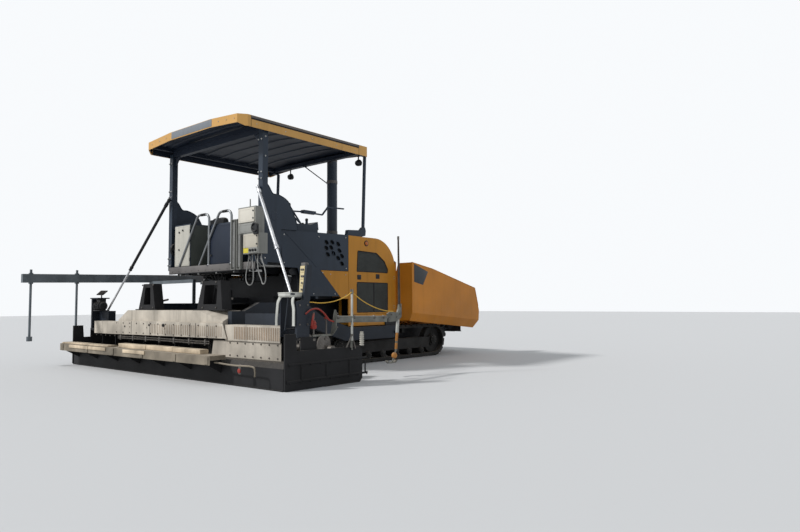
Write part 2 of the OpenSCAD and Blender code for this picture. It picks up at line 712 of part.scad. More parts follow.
// Yellow panels that stay: the triangle ahead of the dark panel and the sill
module body_panel() {
    slab_x(side_x - panel_t, panel_t) polygon([
        [1800, 1609], [door_y - 6, 1609], [door_y - 6, 1140], [2280, 1140]]);
    box([side_x - 300, door_y - 100, tunnel_top + 90], [side_x - panel_t, door_y - 60, tunnel_top + 130]);
    difference() {
        box([side_x - panel_t, door_y, skirt_z], [side_x, hopper_y - 80, door_z - 6]);
        box([side_x - panel_t - 1, tow_y - beam_half - 1, beam_top - 91], [side_x + 1, tow_y + beam_half + 1, beam_top + 1]);
    }
    for (y = [door_y + 60, hopper_y - 130]) box([side_x - 300, y, skirt_z + 20], [side_x - panel_t, y + 40, skirt_z + 60]);
    for (y = [door_y + 60, hopper_y - 130]) box([side_x - 300, y, skirt_z + 20], [side_x - 270, y + 40, tunnel_top + 60]);
}

module body_panels() color("orange") {
    both() body_panel();
}

// Outline of the engine door: straight rear edge and a large round front corner
module door_outline() {
    y1 = hopper_y - 80;
    z1 = hood_z - 10;
    corner_r = 560;
    intersection() {
        translate([door_y, door_z]) square([y1 - door_y, z1 - door_z]);
        union() {
            translate([door_y, door_z]) square([y1 - corner_r - door_y, z1 - door_z]);
            translate([door_y, door_z]) square([y1 - door_y, z1 - corner_r - door_z]);
            translate([y1 - corner_r, z1 - corner_r]) circle(r = corner_r, $fn = 64);
        }
    }
}

module engine_door() color("orange") {
    w0 = door_y + 210;
    w1 = hopper_y - 300;
    difference() {
        slab_x(side_x - panel_t, panel_t) door_outline();
        slab_x(side_x - panel_t - 1, panel_t + 2) polygon([
            [w0, 1620], [w1, 1620], [w1, 1690], [w1 - 90, 1830], [w1 - 310, 1970], [w0 + 20, 1985]]);
        slab_x(side_x - panel_t - 1, panel_t + 2) translate([w0, door_z + 30]) square([w1 - w0, 530]);
    }
    // Mesh bars in the upper window and louvres in the lower grille
    for (i = [1 : 6]) box([side_x - 14, w0 - 5, 1620 + i * 46], [side_x - 9, w1 - (i > 3 ? 50 + (i - 3) * 75 : 0), 1625 + i * 46]);
    for (i = [0 : 11]) box([side_x - 16, w0 - 5, door_z + 40 + i * 44], [side_x - 6, w1 + 5, door_z + 52 + i * 44]);
    box([side_x - 12, w0 + 410, door_z + 20], [side_x - 2, w0 + 440, door_z + 570]);
    // Hinge knuckles
    for (z = door_hinge_z) difference() {
        union() {
            translate([side_x - 14, door_hinge_y, z]) cylinder(h = 80, r = 13);
            box([side_x - 18, door_hinge_y - 45, z], [side_x - 6, door_hinge_y, z + 80]);
        }
        translate([side_x - 14, door_hinge_y, z - 1]) cylinder(h = 82, r = door_pin_r + fit);
    }
}

// Deck of the operator's platform with its edge and cross bearers
module platform() color([0.14, 0.15, 0.17]) {
    box([-deck_x, deck_y, deck_z - 40], [deck_x, door_y - 330, deck_z]);
    box([-deck_x, deck_y, deck_z - 110], [deck_x, deck_y + 30, deck_z - 40]);
    for (x = [tunnel_x - 100, -tunnel_x - 20]) box([x, deck_y + 30, deck_z - 140], [x + 120, frame_rear_y, deck_z - 40]);
}

// Seat bases with their slides
module seats() color([0.12, 0.12, 0.13]) {
    for (x = [-1, 1]) translate([x * 620, 1330, deck_z]) {
        translate([-160, -160, 0]) cube([320, 360, 300]);
        translate([-240, -230, 300]) cube([480, 500, 40]);
        translate([-220, -270, 300]) cube([440, 40, 560]);
    }
}

module seat_cushions() color([0.08, 0.08, 0.09]) {
    for (x = [-1, 1]) translate([x * 620, 1330, deck_z]) {
        translate([-230, -200, 340 + fit]) cube([460, 470, 110]);
        translate([-215, -230 + fit, 470]) cube([430, 90, 430]);
    }
}

// Cabinets at the platform's rear, the driver's desk and the levers on the right console
module consoles() color([0.15, 0.18, 0.24]) {
    box([-1100, deck_y + 40, deck_z], [-620, deck_y + 400, deck_z + 740]);
    box([-60, deck_y + 45, deck_z], [600, deck_y + 280, deck_z + 670]);
    box([-400, door_y - 700, deck_z], [400, door_y - 360, deck_z + 620]);
    slab_x(-900, 1800) polygon([
        [door_y - 760, deck_z + 600], [door_y - 360, deck_z + 640], [door_y - 380, deck_z + 780], [door_y - 720, deck_z + 640]]);
    // Console beside the seat with two levers and a knob
    box([860, 1300, deck_z], [1020, 1960, deck_z + 690]);
    rod([900, 1716, deck_z + 680], [900, 1437, 2682], 14);
    rod([940, 1690, deck_z + 680], [940, 1345, 2596], 14);
    translate([900, 1815, deck_z + 690]) cylinder(h = 90, r = 22);
    handle_bar();
}

// Black handle bar ahead of the levers, bent from one round bar, with its control box
module handle_bar() {
    x = 900;
    path = [[1330, deck_z + 680], [1335, 2585], [1715, 2610], [2174, 2604], [2307, 2752], [2694, 2768]];
    for (i = [0 : len(path) - 2]) hull() for (p = [path[i], path[i + 1]])
        translate([x, p[0], p[1]]) rotate([0, 90, 0]) cylinder(h = 24, r = 12, center = true, $fn = 16);
    box([x - 40, 1715, 2588], [x + 40, 1995, 2640]);
}

// Switch boxes on the right rear post, and the two cable channels beside them
module control_boxes() color([0.85, 0.84, 0.78]) {
    y0 = post_y - 160;
    y1 = post_y - fit;
    box([944, y0, deck_z + 420], [1371, y1, deck_z + 822]);
    box([1077, y0, deck_z + 114], [1449, y1, deck_z + 420]);
    translate([1158, y0 + 60, deck_z + 822]) cylinder(h = 125, r = 9);
    // Glands that the two cable loops hang from
    for (r = [cable_left_route, cable_right_route]) for (p = [r[0], r[len(r) - 1]])
        translate([p[0], p[1], p[2] + fit]) cylinder(h = 20, r = 13);
    for (x = [660, 800]) difference() {
        box([x, deck_y - 50, deck_z - 100], [x + 100, deck_y - fit, deck_z + 680]);
        box([x + 8, deck_y - 51, deck_z - 92], [x + 92, deck_y - 12, deck_z + 672]);
    }
}

// A rail of round bar: an upright leg, a top w long, and a leg that leans out by an angle
module lean_rail(w, h, bend, lean, r) {
    turn = 90 - lean;
    x1 = bend + w + bend * sin(turn);
    z1 = h - bend + bend * cos(turn);
    cylinder(h = h - bend, r = r);
    // Each bend: its centre along the rail, where its arc starts and how far it turns
    for (a = [[bend, 90, 90], [bend + w, lean, turn]])
        translate([a[0], 0, h - bend]) rotate([90, 0, 0]) rotate([0, 0, a[1]])
            rotate_extrude(angle = a[2]) translate([bend, 0]) circle(r = r);
    translate([bend, 0, h]) rotate([0, 90, 0]) cylinder(h = w, r = r);
    translate([x1, 0, z1]) rotate([0, 90 + turn, 0]) cylinder(h = (z1 - r * cos(turn)) / sin(turn), r = r);
}

module handrails() color("silver") {
    for (x = [-40, 575]) translate([x, deck_y + 20, deck_z]) mirror([1, 0, 0]) lean_rail(170, 850, 100, 34, rail_r);
}

// Four posts that carry the roof: two thick ones behind, two thin leaning ones ahead
module roof_posts() color([0.17, 0.22, 0.28]) {
    foot_z = hood_z - 10 + fit;
    top_z = roof_low(post_x - 20) - fascia_h - fit;
    both() {
        box([post_x - post_w / 2, post_y, deck_z - 40], [post_x + post_w / 2, post_y + post_w, beam_low_z - 30]);
        slab_x(post_x - 30, 60) difference() {
            polygon([[post_y + post_w - 1, hood_z + 640], [post_y + 145, hood_z + 593], [post_y + 215, hood_z + 500],
                [post_y + 320, hood_z + 495], [post_y + 470, hood_z + 440], [post_y + 560, hood_z + 350],
                [post_y + 680, hood_z + 110], [post_y + 720, hood_z - 28], [panel_y - 1, hood_z - 38],
                [panel_y - 1, deck_z], [post_y + post_w - 1, deck_z]]);
            translate([post_y + 250, hood_z + 150]) circle(r = 60);
        }
        rod([post_x - 55, front_post_y + 20, foot_z + 40], [post_x - 55, front_post_y + 75, top_z - 8], post_d / 2);
        box([post_x - 90, front_post_y - 60, top_z - 10], [post_x - 20, front_post_y + 75, top_z]);
        // Rubber foot of the front post
        slab_x(post_x - 96, 70) polygon([
            [front_post_y - 400, foot_z], [front_post_y - 52, foot_z], [front_post_y + 60, hood_z + 20],
            [front_post_y + 70, hood_z + 110], [front_post_y + 50, hood_z + 170], [front_post_y, hood_z + 170],
            [front_post_y - 60, hood_z + 110], [front_post_y - 380, hood_z + 90]]);
    }
    for (b = [brace_high_l, brace_high_r]) rod_y(b[0], b[1] + brace_ball + fit, post_y + 5, b[2], 18);
}

// Outline of the roof, drawn in by e, with cut corners
module roof_outline(e) {
    w = roof_w / 2 - e;
    y0 = roof_y + e;
    y1 = roof_y + roof_l - e;
    c = roof_cut;
    polygon([[-w + c, y0], [w - c, y0], [w, y0 + c], [w, y1 - c], [w - c, y1], [-w + c, y1], [-w, y1 - c], [-w, y0 + c]]);
}

// Height of the roof's top at a distance x from the middle
function roof_low(x) = roof_z - roof_fall * max(0, (x - roof_flat) / (roof_w / 2 - roof_flat));

// Body of the crowned roof inside its outline: from the top surface down by t, and by low more at the sides
module roof_body(e, t, low) {
    w = roof_w / 2;
    side_z = roof_z - roof_fall;
    intersection() {
        slab_y(roof_y - 10, roof_l + 20) polygon([
            [-w, side_z], [-roof_flat, roof_z], [roof_flat, roof_z], [w, side_z],
            [w, side_z - t - low], [w - 30, side_z - t - low], [w - roof_cut, roof_low(w - roof_cut) - t],
            [roof_flat, roof_z - t], [-roof_flat, roof_z - t], [-w + roof_cut, roof_low(w - roof_cut) - t],
            [-w + 30, side_z - t - low], [-w, side_z - t - low]]);
        translate([0, 0, side_z - 400]) linear_extrude(600) roof_outline(e);
    }
}

// Roof sheet with the cross beams and long rails under it
module roof() color([0.22, 0.24, 0.28]) {
    roof_body(12 + fit, 50, 0);
    for (y = [post_y, front_post_y - 70]) box([-roof_w / 2 + 150, y, beam_low_z], [roof_w / 2 - 150, y + 100, beam_top_z + 20]);
    both() box([side_x - 100, roof_y + 60, beam_low_z], [side_x - 40, roof_y + roof_l - 60, beam_top_z + 20]);
    // Deep beam between the two rear posts
    box([-deck_x, post_y + 10, roof_z - 240], [deck_x, post_y + post_w - 10, beam_low_z]);
}

module roof_fascia() color("gold") {
    difference() {
        roof_body(0, fascia_h, 42);
        translate([0, 0, roof_z - 500]) linear_extrude(700) roof_outline(12);
    }
}

// Exhaust stack with the stay that ties it to the roof's front beam
module exhaust_stack() color([0.15, 0.18, 0.22]) {
    stay = [-280, roof_y + roof_l - 100, beam_low_z];
    translate([stack_x, stack_y, engine_top]) difference() {
        cylinder(h = roof_z - 80 - engine_top, r = stack_d / 2);
        translate([0, 0, 60]) cylinder(h = roof_z, r = stack_d / 2 - 6);
    }
    rod(stay - [0, 0, 12], [stack_x - stack_d / 2 + 4, stack_y - 10, beam_low_z - 370], 10);
    box(stay - [30, 30, 16], stay + [30, 30, -fit]);
}

module work_lamps() color([0.2, 0.2, 0.22]) {
    for (x = [-770, 1110]) {
        translate([x, roof_y + roof_l - 100, beam_low_z - 155]) rotate([-70, 0, 0]) cylinder(h = 90, r = 60);
        box([x - 12, roof_y + roof_l - 80, beam_low_z - 145], [x + 12, roof_y + roof_l - 56, beam_low_z - fit]);
    }
}

// Auger drive case and hangers
module auger_frame() color([0.17, 0.18, 0.2]) {
    box([-70, auger_y - 90, auger_z - 130], [70, auger_y + 90, deck_z - 400]);
    box([-frame_x, frame_rear_y - 130, tunnel_top - 20], [frame_x, frame_rear_y, tunnel_top + 100]);
    box([-70, auger_y + 80, tunnel_top - 10], [70, frame_rear_y - 120, tunnel_top + 90]);
}

// The flight of an auger: a helix plate from the shaft's surface to the rim
module flight(l, r0, r1, t, pitch, hand) {
    n = ceil(l / pitch * 16);
    pts = [for (i = [0 : n]) let (a = hand * 360 * (l * i / n) / pitch, x = l * i / n)
        for (c = [[r0, -t], [r1, -t / 2], [r1, t / 2], [r0, t]])
            [x + c[1], c[0] * cos(a), c[0] * sin(a)]];
    faces = concat([[3, 2, 1, 0]], [[4 * n, 4 * n + 1, 4 * n + 2, 4 * n + 3]],
        [for (i = [0 : n - 1]) for (k = [0 : 3])
            let (a = 4 * i + k, b = 4 * i + (k + 1) % 4) each [[a, b, b + 4], [a, b + 4, a + 4]]]);
    if (hand > 0) polyhedron(pts, faces);
    else polyhedron(pts, [for (f = faces) [for (k = [len(f) - 1 : -1 : 0]) f[k]]]);
}

// Right auger; the left one is its mirror
module auger() color([0.30, 0.29, 0.28]) {
    rod_x(70 + fit, 80 + auger_l, auger_y, auger_z, 55);
    translate([120, auger_y, auger_z]) flight(auger_l - 60, 50, auger_d / 2, 12, auger_pitch, 1);
}

// Tow arm from the tow pin to the screed, over the auger
module tow_arm() {
    difference() {
        union() {
            slab_x(arm_x, arm_t) union() {
                translate([tow_y, tow_z]) circle(r = 110);
                polygon([[tow_y, tow_z - 110], [tow_y, tow_z + 110], [2350, tow_z + 110], [1700, 860],
                    [1350, 1080], [460, 1080], [200, 960], [-20, 960], [-20, 640.3], [300, 640.3], [420, 800],
                    [1200, 800], [1600, 640], [2250, tow_z - 110]]);
            }
            // Pin and lug for the lift cylinder's rod
            rod_x(lift_x - 40, arm_x + 5, lift_low[0], lift_low[1], eye_r);
            slab_x(arm_x, arm_t) union() {
                translate(lift_low) circle(r = 60);
                translate([lift_low[0] - 60, lift_low[1]]) square([120, 120]);
            }
        }
        rod_x(arm_x - 5, arm_x + arm_t + 5, tow_y, tow_z, tow_pin_d / 2 + fit);
    }
}

module tow_arms() color([0.16, 0.19, 0.23]) {
    both() tow_arm();
}

// Fork on the rear cross frame for the lift cylinder's upper pin
module lift_bracket() {
    box([frame_x, frame_rear_y - 10, tunnel_top + 60], [lift_x + 60, frame_rear_y + 60, deck_z - 80]);
    for (x = [lift_x - 55, lift_x + 30]) slab_x(x, 25) union() {
        translate(lift_high) circle(r = 50);
        translate([lift_high[0], lift_high[1] - 50]) square([frame_rear_y - lift_high[0] + 5, 100]);
    }
    rod_x(lift_x - 55, lift_x + 55, lift_high[0], lift_high[1], eye_r);
}

module lift_barrel() {
    difference() {
        translate([lift_x, lift_high[0], lift_high[1]]) rotate([lift_a, 0, 0]) union() {
            translate([-25, 0, 0]) rotate([0, 90, 0]) cylinder(h = 50, r = 42);
            translate([0, 62, 0]) rotate([-90, 0, 0]) cylinder(h = lift_l * 0.6 - 62, r = 48);
            translate([0, 30, 0]) rotate([-90, 0, 0]) cylinder(h = 40, r = 21);
        }
        translate([lift_x, lift_high[0], lift_high[1]]) rotate([lift_a, 0, 0])
            translate([0, 90, 0]) rotate([-90, 0, 0]) cylinder(h = lift_l, r = 24 + fit);
        rod_x(lift_x - 60, lift_x + 60, lift_high[0], lift_high[1], eye_r + fit);
    }
}

module lift_rod() {
    difference() {
        translate([lift_x, lift_high[0], lift_high[1]]) rotate([lift_a, 0, 0]) union() {
            translate([-25, lift_l, 0]) rotate([0, 90, 0]) cylinder(h = 50, r = 40);
            translate([0, lift_l * 0.46, 0]) rotate([-90, 0, 0]) cylinder(h = lift_l * 0.54 - 20, r = 24);
        }
        rod_x(lift_x - 60, lift_x + 60, lift_low[0], lift_low[1], eye_r + 6);
    }
}

module lift_barrels() color([0.2, 0.2, 0.22]) {
    both() lift_barrel();
}

module lift_rods() color("silver") {
    both() lift_rod();
}

// The screed's lower box over its whole width, with end plates, gate pads and foot brackets
module screed_frame() color([0.13, 0.14, 0.15]) {
    slab_x(-screed_half, 2 * screed_half) difference() {
        screed_section(0);
        screed_section(12);
    }
    for (x = [-screed_half, -middle_w / 2 - 10, middle_w / 2 - 10, screed_half - 16]) slab_x(x, 16) screed_section(6);
    // Rubbing pads for the end gates
    both() for (y = [-sole_rear + 40, 120]) box([screed_half - 5, y, 80], [screed_w / 2 - gate_t - fit, y + 100, 260]);
    // Brackets of the rear foot deck
    for (i = [0 : 6]) slab_x(foot_deck_x + 150 + i * (foot_deck_l - 280) / 6, 12) polygon([
        [-sole_rear + 15, 140], [-sole_rear + 15, 330], [-590, 330], [-590, 280]]);
}

// Rib frame on the box: upright ribs and the deck that carries covers, arms and uprights
module screed_ribs() color([0.13, 0.14, 0.15]) {
    ribs = 12;
    y0 = -60;
    y1 = 200;
    for (i = [0 : ribs]) box([-screed_half + i * (2 * screed_half - 16) / ribs, y0, screed_box_z],
        [-screed_half + i * (2 * screed_half - 16) / ribs + 16, y1, rib_top - 40]);
    box([-screed_half, y0, rib_top - 40], [screed_half, y1, rib_top]);
}

// Section of the screed's lower box, drawn in by e
module screed_section(e) {
    polygon([
        [-sole_rear + 10 + e, sole_t + e], [sole_front - e / 2, sole_t + e], [sole_front + 60 - e, 60 + e / 2],
        [sole_front + 60 - e, screed_box_z - e], [-sole_rear + 60 + e / 2, screed_box_z - e],
        [-sole_rear + 10 + e, screed_box_z - 60 - e / 2]]);
}

// Sole plates of the middle section and the two wide ends, with their lifted front lip
module sole_plates() color([0.2, 0.2, 0.2]) {
    for (s = [[-screed_half, -middle_w / 2 - 2], [-middle_w / 2 + 2, middle_w / 2 - 2], [middle_w / 2 + 2, screed_half]])
        slab_x(s[0], s[1] - s[0]) polygon([
            [-sole_rear, 0], [sole_front - 20, 0], [sole_front + 10, 12], [sole_front + 10, sole_t], [-sole_rear, sole_t]]);
}

// Pale covers on the screed's deck: the middle hood with its bevelled end, and the side steps
module walkways() color([0.72, 0.66, 0.56]) {
    m = arm_x - 10;
    z0 = rib_top + fit;
    lip = 792;
    bevel_x = 700;
    // Riser behind the tow arms' feet, with holes
    slab_y(cover_rear, 8) difference() {
        polygon([[-1775, 565], [1468, 583], [1367, lip], [-1607, lip]]);
        for (x = [-1250, -700, -150]) translate([x, 690]) circle(r = 16);
    }
    slab_x(-m, 2 * m) polygon([[cover_rear + 8, z0], [cover_rear + 8, lip], [-100, lip + 8], [-100, z0]]);
    slab_x(-m, m + bevel_x) polygon([[-100, z0], [-100, screed_top_z], [cover_front, screed_top_z], [cover_front, z0]]);
    bevelled_end(bevel_x, m, -100, cover_front, z0);
    // Slanting end plate behind the left tow arm's foot
    slab_y(-100, 8) polygon([[-1750, z0], [-m + 1, z0], [-m + 1, screed_top_z], [-1430, screed_top_z], [-1750, lip + 8]]);
    // Side steps with a hanging riser, and the plate below the right one
    both() slab_x(arm_x + arm_t + 10, step_x - arm_x - arm_t - 10) polygon([
        [-130, 560], [-122, 560], [-122, z0], [60, z0], [60, 775], [-130, 775]]);
    slab_y(-110, 8) polygon([[1054, screed_box_z], [step_x, screed_box_z], [step_x, 556], [1100, 556]]);
}

// End of the middle hood: a block whose rear upper corner is cut by a slanting facet
module bevelled_end(x0, x1, y0, y1, z0) {
    drop = 155;
    z1 = screed_top_z;
    polyhedron([[x0, y0, z0], [x1, y0, z0], [x1, y1, z0], [x0, y1, z0],
        [x0, y0, z1], [x1, y0, z1 - drop], [x1, y1, z1], [x0, y1, z1]],
        [[0, 1, 2, 3], [4, 5, 1, 0], [7, 6, 4], [6, 5, 4], [5, 6, 2, 1], [6, 7, 3, 2], [7, 4, 0, 3]]);
}

// Foot deck behind the screed and the wooden boards on it
module rear_boards() color("tan") {
    slab_x(foot_deck_x, foot_deck_l) polygon([
        [-600, 270], [-600, 390], [-sole_rear - 5, 390], [-sole_rear - 5, 330 + fit], [-592, 330 + fit], [-592, 270]]);
    box([-850, -520, 390], [1400, -400, 450]);
}

// Trestle of the crown adjuster: two legs and a top bar of flat bar, with a gusset at the foot
module trestle(foot, top) {
    z0 = screed_top_z;
    z1 = 1400;
    slab_y(-40, 160) difference() {
        polygon([[0, z0], [foot, z0], [top[1], z1], [top[0], z1]]);
        polygon([[170, z0 + 90], [foot - 150, z0 + 90], [top[1] - 70, z1 - 60], [top[0] + 60, z1 - 60]]);
    }
    box([-100, -40, z0], [foot + 60, 120, z0 + 16]);
}

module trestles() color([0.15, 0.16, 0.18]) {
    translate([-1190, 0, 0]) trestle(540, [160, 450]);
    translate([550, 0, 0]) trestle(650, [150, 600]);
}

// Uprights, tray, boxes and end walls at the screed's ends
module screed_posts() color([0.2, 0.25, 0.3]) {
    z0 = rib_top + fit;
    tray_x = step_x - 15;
    // Right upright: a wide foot and a narrower leaning post
    slab_x(upright_x - 40, 40) polygon([
        [-110, z0], [94, z0], [94, 1090], [104, 1110], [134, 1550], [54, 1550], [-6, 1110], [-110, 1090]]);
    // Tray, the bent frame below it and the panel that stands on it
    box([tray_x, -160, tray_z - 20], [upright_x - 40, 130, tray_z]);
    leg_x = upright_x - 140;
    for (leg = [[-130, -185], [60, 100]]) rod([leg_x, leg[0], tray_z - 10], [leg_x, leg[1], 745], 9);
    rod([leg_x, -189, 740], [leg_x, 104, 740], 9);
    box([upright_x - 130, 70, tray_z - 1], [upright_x - 50, 125, 1550]);
    // Wall that closes the right step, and the open box behind the step
    slab_x(step_x + fit, 12) polygon([[-130, z0], [190, z0], [190, 930], [60, tray_z - 10], [-130, tray_z - 10]]);
    difference() {
        box([step_x - 985, 60 + fit, z0], [step_x - 65, 190, 930]);
        box([step_x - 977, 68, z0 + 8], [step_x - 73, 182, 940]);
    }
    // Left upright with its tray and box
    box([-upright_x, -60, z0], [-upright_x + 40, 190, 1190]);
    box([-upright_x + 40, 60 + fit, z0], [-upright_x + 430, 190, 950]);
    box([-upright_x + 40, -100, 1170], [-upright_x + 330, 120, 1190]);
}

// Levelling sensor rig at the right end: arm, tube, bracket, leaning pole with its foot, rope rod
module sensor_rig() color([0.62, 0.63, 0.62]) {
    plate_y = 470;
    tube_z = [882, 862];
    bracket_y = 1490;
    // Arm from the deck and the upright plate that carries the tube
    box([upright_x - 10, 140, rib_top + fit], [upright_x + 14, plate_y + 12, rib_top + 24]);
    slab_y(plate_y, 12) polygon([[upright_x - 10, rib_top + 24], [upright_x + 14, rib_top + fit], [rig_x - 30, rib_top + 30],
        [rig_x + 14, 720], [rig_x + 14, 940], [rig_x, 980], [rig_x - 20, 980], [rig_x - 40, 900]]);
    rod([rig_x, plate_y + 6, tube_z[0]], [rig_x, bracket_y + 60, tube_z[1]], 18);
    slab_x(rig_x - 14, 28) polygon([
        [bracket_y, 905], [bracket_y + 70, 935], [bracket_y + 230, 925], [bracket_y + 290, 1050],
        [bracket_y + 320, 1050], [bracket_y + 320, 860], [bracket_y + 240, 800], [bracket_y + 60, 790]]);
    // Rod with the fork that the rope runs over
    translate([rig_x, 780, 440]) cylinder(h = 750, r = 8);
    box([rig_x - 20, 776, 1185], [rig_x + 20, 784, 1198]);
    for (x = [rig_x - 20, rig_x + 12]) box([x, 770, 1185], [x + 8, 790, 1250]);
    translate([rig_x, 770, 470]) cylinder(h = 90, r = 14);
    // Pole: a dark upper part, a pale lower one that leans back, and the ski at its foot
    rod([rig_x, 1772, 1000], [rig_x, 1760, 2040], 11);
    rod([rig_x, 1765, 1040], [rig_x, 1690, 370], 17);
    rod([rig_x, 1692, 380], [rig_x, 1610, 215], 11);
    slab_x(rig_x - 28, 56) polygon([[1480, 235], [1520, 200], [1660, 200], [1700, 235], [1690, 243], [1655, 214], [1525, 214], [1490, 243]]);
}

// A round cord of radius r along its points, a ring of 8 sides at each
module cord(points, r) {
    n = len(points);
    sides = 8;
    rings = [for (i = [0 : n - 1]) let (
        t = points[min(i + 1, n - 1)] - points[max(i - 1, 0)],
        u = cross(t, [0.2, 1, 0.1]) / norm(cross(t, [0.2, 1, 0.1])),
        v = cross(t / norm(t), u))
        each [for (k = [0 : sides - 1]) points[i] + r * (cos(k * 360 / sides) * u + sin(k * 360 / sides) * v)]];
    walls = [for (i = [0 : n - 2]) for (k = [0 : sides - 1]) let (a = i * sides + k, b = i * sides + (k + 1) % sides)
        each [[a, b + sides, b], [a, a + sides, b + sides]]];
    polyhedron(rings, concat(walls, [[for (k = [0 : sides - 1]) k]],
        [[for (k = [sides - 1 : -1 : 0]) (n - 1) * sides + k]]));
}

// Yellow rope from the upright over the rod's fork to the pole's bracket
module rope() color([0.85, 0.68, 0.2]) {
    cord(rope_route, 7);
}

// End gate: a plate that closes the screed's end, higher behind, with a ski along its foot
module end_gate() color([0.14, 0.14, 0.15]) {
    x0 = screed_w / 2 - gate_t;
    front = gate_l - sole_rear;
    slab_x(x0, gate_t) polygon([
        [-sole_rear, 20], [-sole_rear + 20, 0], [front - 60, 0], [front, 60], [front, gate_h - 60],
        [front - 60, gate_h], [-165, gate_h], [-180, 690], [-sole_rear, 690]]);
    slab_x(x0 - 12, gate_t + 24) polygon([[270 + 30, 0], [front - 60, 0], [front - 5, 55], [front - 20, 64], [front - 70, 14], [300, 14]]);
}

// Outer tube of a telescopic brace, with the ball at its upper end
module brace_tube(p, q) {
    l = norm(q - p);
    along(p, q) difference() {
        union() {
            sphere(r = brace_ball);
            cylinder(h = l * 0.62, r = brace_d / 2);
        }
        translate([0, 0, l * 0.08]) cylinder(h = l, r = brace_rod_r + fit);
    }
}

// Its inner rod, which ends in a ball on the screed
module brace_rod(p, q) {
    l = norm(q - p);
    along(p, q) union() {
        translate([0, 0, l * 0.5]) cylinder(h = l * 0.5, r = brace_rod_r);
        translate([0, 0, l]) sphere(r = brace_end_r);
    }
}

// Long levelling beam at the left side, carried by two arms from the tow arm
module averaging_beam() color([0.45, 0.48, 0.5]) {
    slab_x(beam_x - 40, 80) polygon([[beam_y0, beam_low(beam_y0)], [beam_y1, beam_low(beam_y1)],
        [beam_y1, beam_low(beam_y1) + beam_deep], [beam_y0, beam_low(beam_y0) + beam_deep]]);
    for (y = [beam_y0 + 160, beam_y0 + 930, beam_y1 - 2800, beam_y1 - 300]) {
        translate([beam_x - 55, y, 480]) cylinder(h = beam_low(y) + beam_deep - 400, r = 20);
        translate([beam_x - 55, y, 440]) cylinder(h = 80, r = 45);
        box([beam_x - 80, y - 30, beam_low(y) - 20], [beam_x - 30, y + 30, beam_low(y) + beam_deep + 20]);
    }
    // Arms from the tow arm: place along it and height of the lower end
    for (a = [[1100, 840], [2250, tow_z + 20]]) {
        box([beam_x, a[0], beam_low(a[0]) - 40], [-arm_x - arm_t, a[0] + 60, beam_low(a[0]) + 20]);
        box([-arm_x - arm_t - 20, a[0], a[1]], [-arm_x - arm_t, a[0] + 60, beam_low(a[0]) + 20]);
    }
}

chassis();
tunnel_roof();
cross_frames();
frame_brackets();
engine();
mirror([1, 0, 0]) track();  // track_left
track();  // track_right
track_frames();
conveyors();
hopper_base();
color("gold") mirror([1, 0, 0]) hopper_wing();  // hopper_wing_left
color("gold") hopper_wing();  // hopper_wing_right
hopper_apron();
mirror([1, 0, 0]) wing_barrel();  // wing_barrel_left
wing_barrel();  // wing_barrel_right
mirror([1, 0, 0]) wing_rod();  // wing_rod_left
wing_rod();  // wing_rod_right
push_beam();
mirror([1, 0, 0]) push_roller();  // push_roller_left
push_roller();  // push_roller_right
hood();
side_panels();
body_panels();
mirror([1, 0, 0]) engine_door();  // engine_door_left
engine_door();  // engine_door_right
platform();
seats();
seat_cushions();
consoles();
control_boxes();
handrails();
roof_posts();
roof();
roof_fascia();
exhaust_stack();
work_lamps();
auger_frame();
mirror([1, 0, 0]) auger();  // auger_left
auger();  // auger_right
tow_arms();
screed_frame();
screed_ribs();
sole_plates();
walkways();
rear_boards();
trestles();
screed_posts();
sensor_rig();
rope();
color("lightgray") cord(cable_left_route, 8);  // cable_left
color("lightgray") cord(cable_right_route, 8);  // cable_right
mirror([1, 0, 0]) end_gate();  // end_gate_left
end_gate();  // end_gate_right
lift_barrels();
lift_rods();
color("dimgray") brace_tube(brace_high_l, brace_low_l);  // brace_tube_left
color("silver") brace_tube(brace_high_r, brace_low_r);  // brace_tube_right
color("gray") brace_rod(brace_high_l, brace_low_l);  // brace_rod_left
color("silver") brace_rod(brace_high_r, brace_low_r);  // brace_rod_right
averaging_beam();
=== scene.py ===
# The tracked paver at rest on level ground, dressed over its CAD frame, in metres
import bpy
import json
import numpy as np
from math import cos, pi, radians, sin
from mathutils import Matrix, Vector

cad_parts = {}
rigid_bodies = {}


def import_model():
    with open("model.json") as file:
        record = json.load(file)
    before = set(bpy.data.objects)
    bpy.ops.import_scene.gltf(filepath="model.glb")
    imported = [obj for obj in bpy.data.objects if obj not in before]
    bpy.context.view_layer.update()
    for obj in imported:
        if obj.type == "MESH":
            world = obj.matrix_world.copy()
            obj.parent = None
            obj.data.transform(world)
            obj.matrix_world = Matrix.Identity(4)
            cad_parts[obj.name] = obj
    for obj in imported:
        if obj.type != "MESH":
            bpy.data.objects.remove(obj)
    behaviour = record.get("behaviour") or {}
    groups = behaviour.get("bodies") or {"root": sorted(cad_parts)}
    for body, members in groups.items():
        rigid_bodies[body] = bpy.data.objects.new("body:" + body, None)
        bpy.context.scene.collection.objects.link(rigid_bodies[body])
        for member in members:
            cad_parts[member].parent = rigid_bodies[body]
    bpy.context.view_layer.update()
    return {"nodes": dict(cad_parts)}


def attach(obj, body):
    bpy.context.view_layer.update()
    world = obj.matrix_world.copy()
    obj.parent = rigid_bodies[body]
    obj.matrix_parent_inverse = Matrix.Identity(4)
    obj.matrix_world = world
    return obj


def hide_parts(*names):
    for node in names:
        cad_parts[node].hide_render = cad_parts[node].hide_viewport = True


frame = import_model()
cad = frame["nodes"]
shown = bpy.context.scene.collection.objects

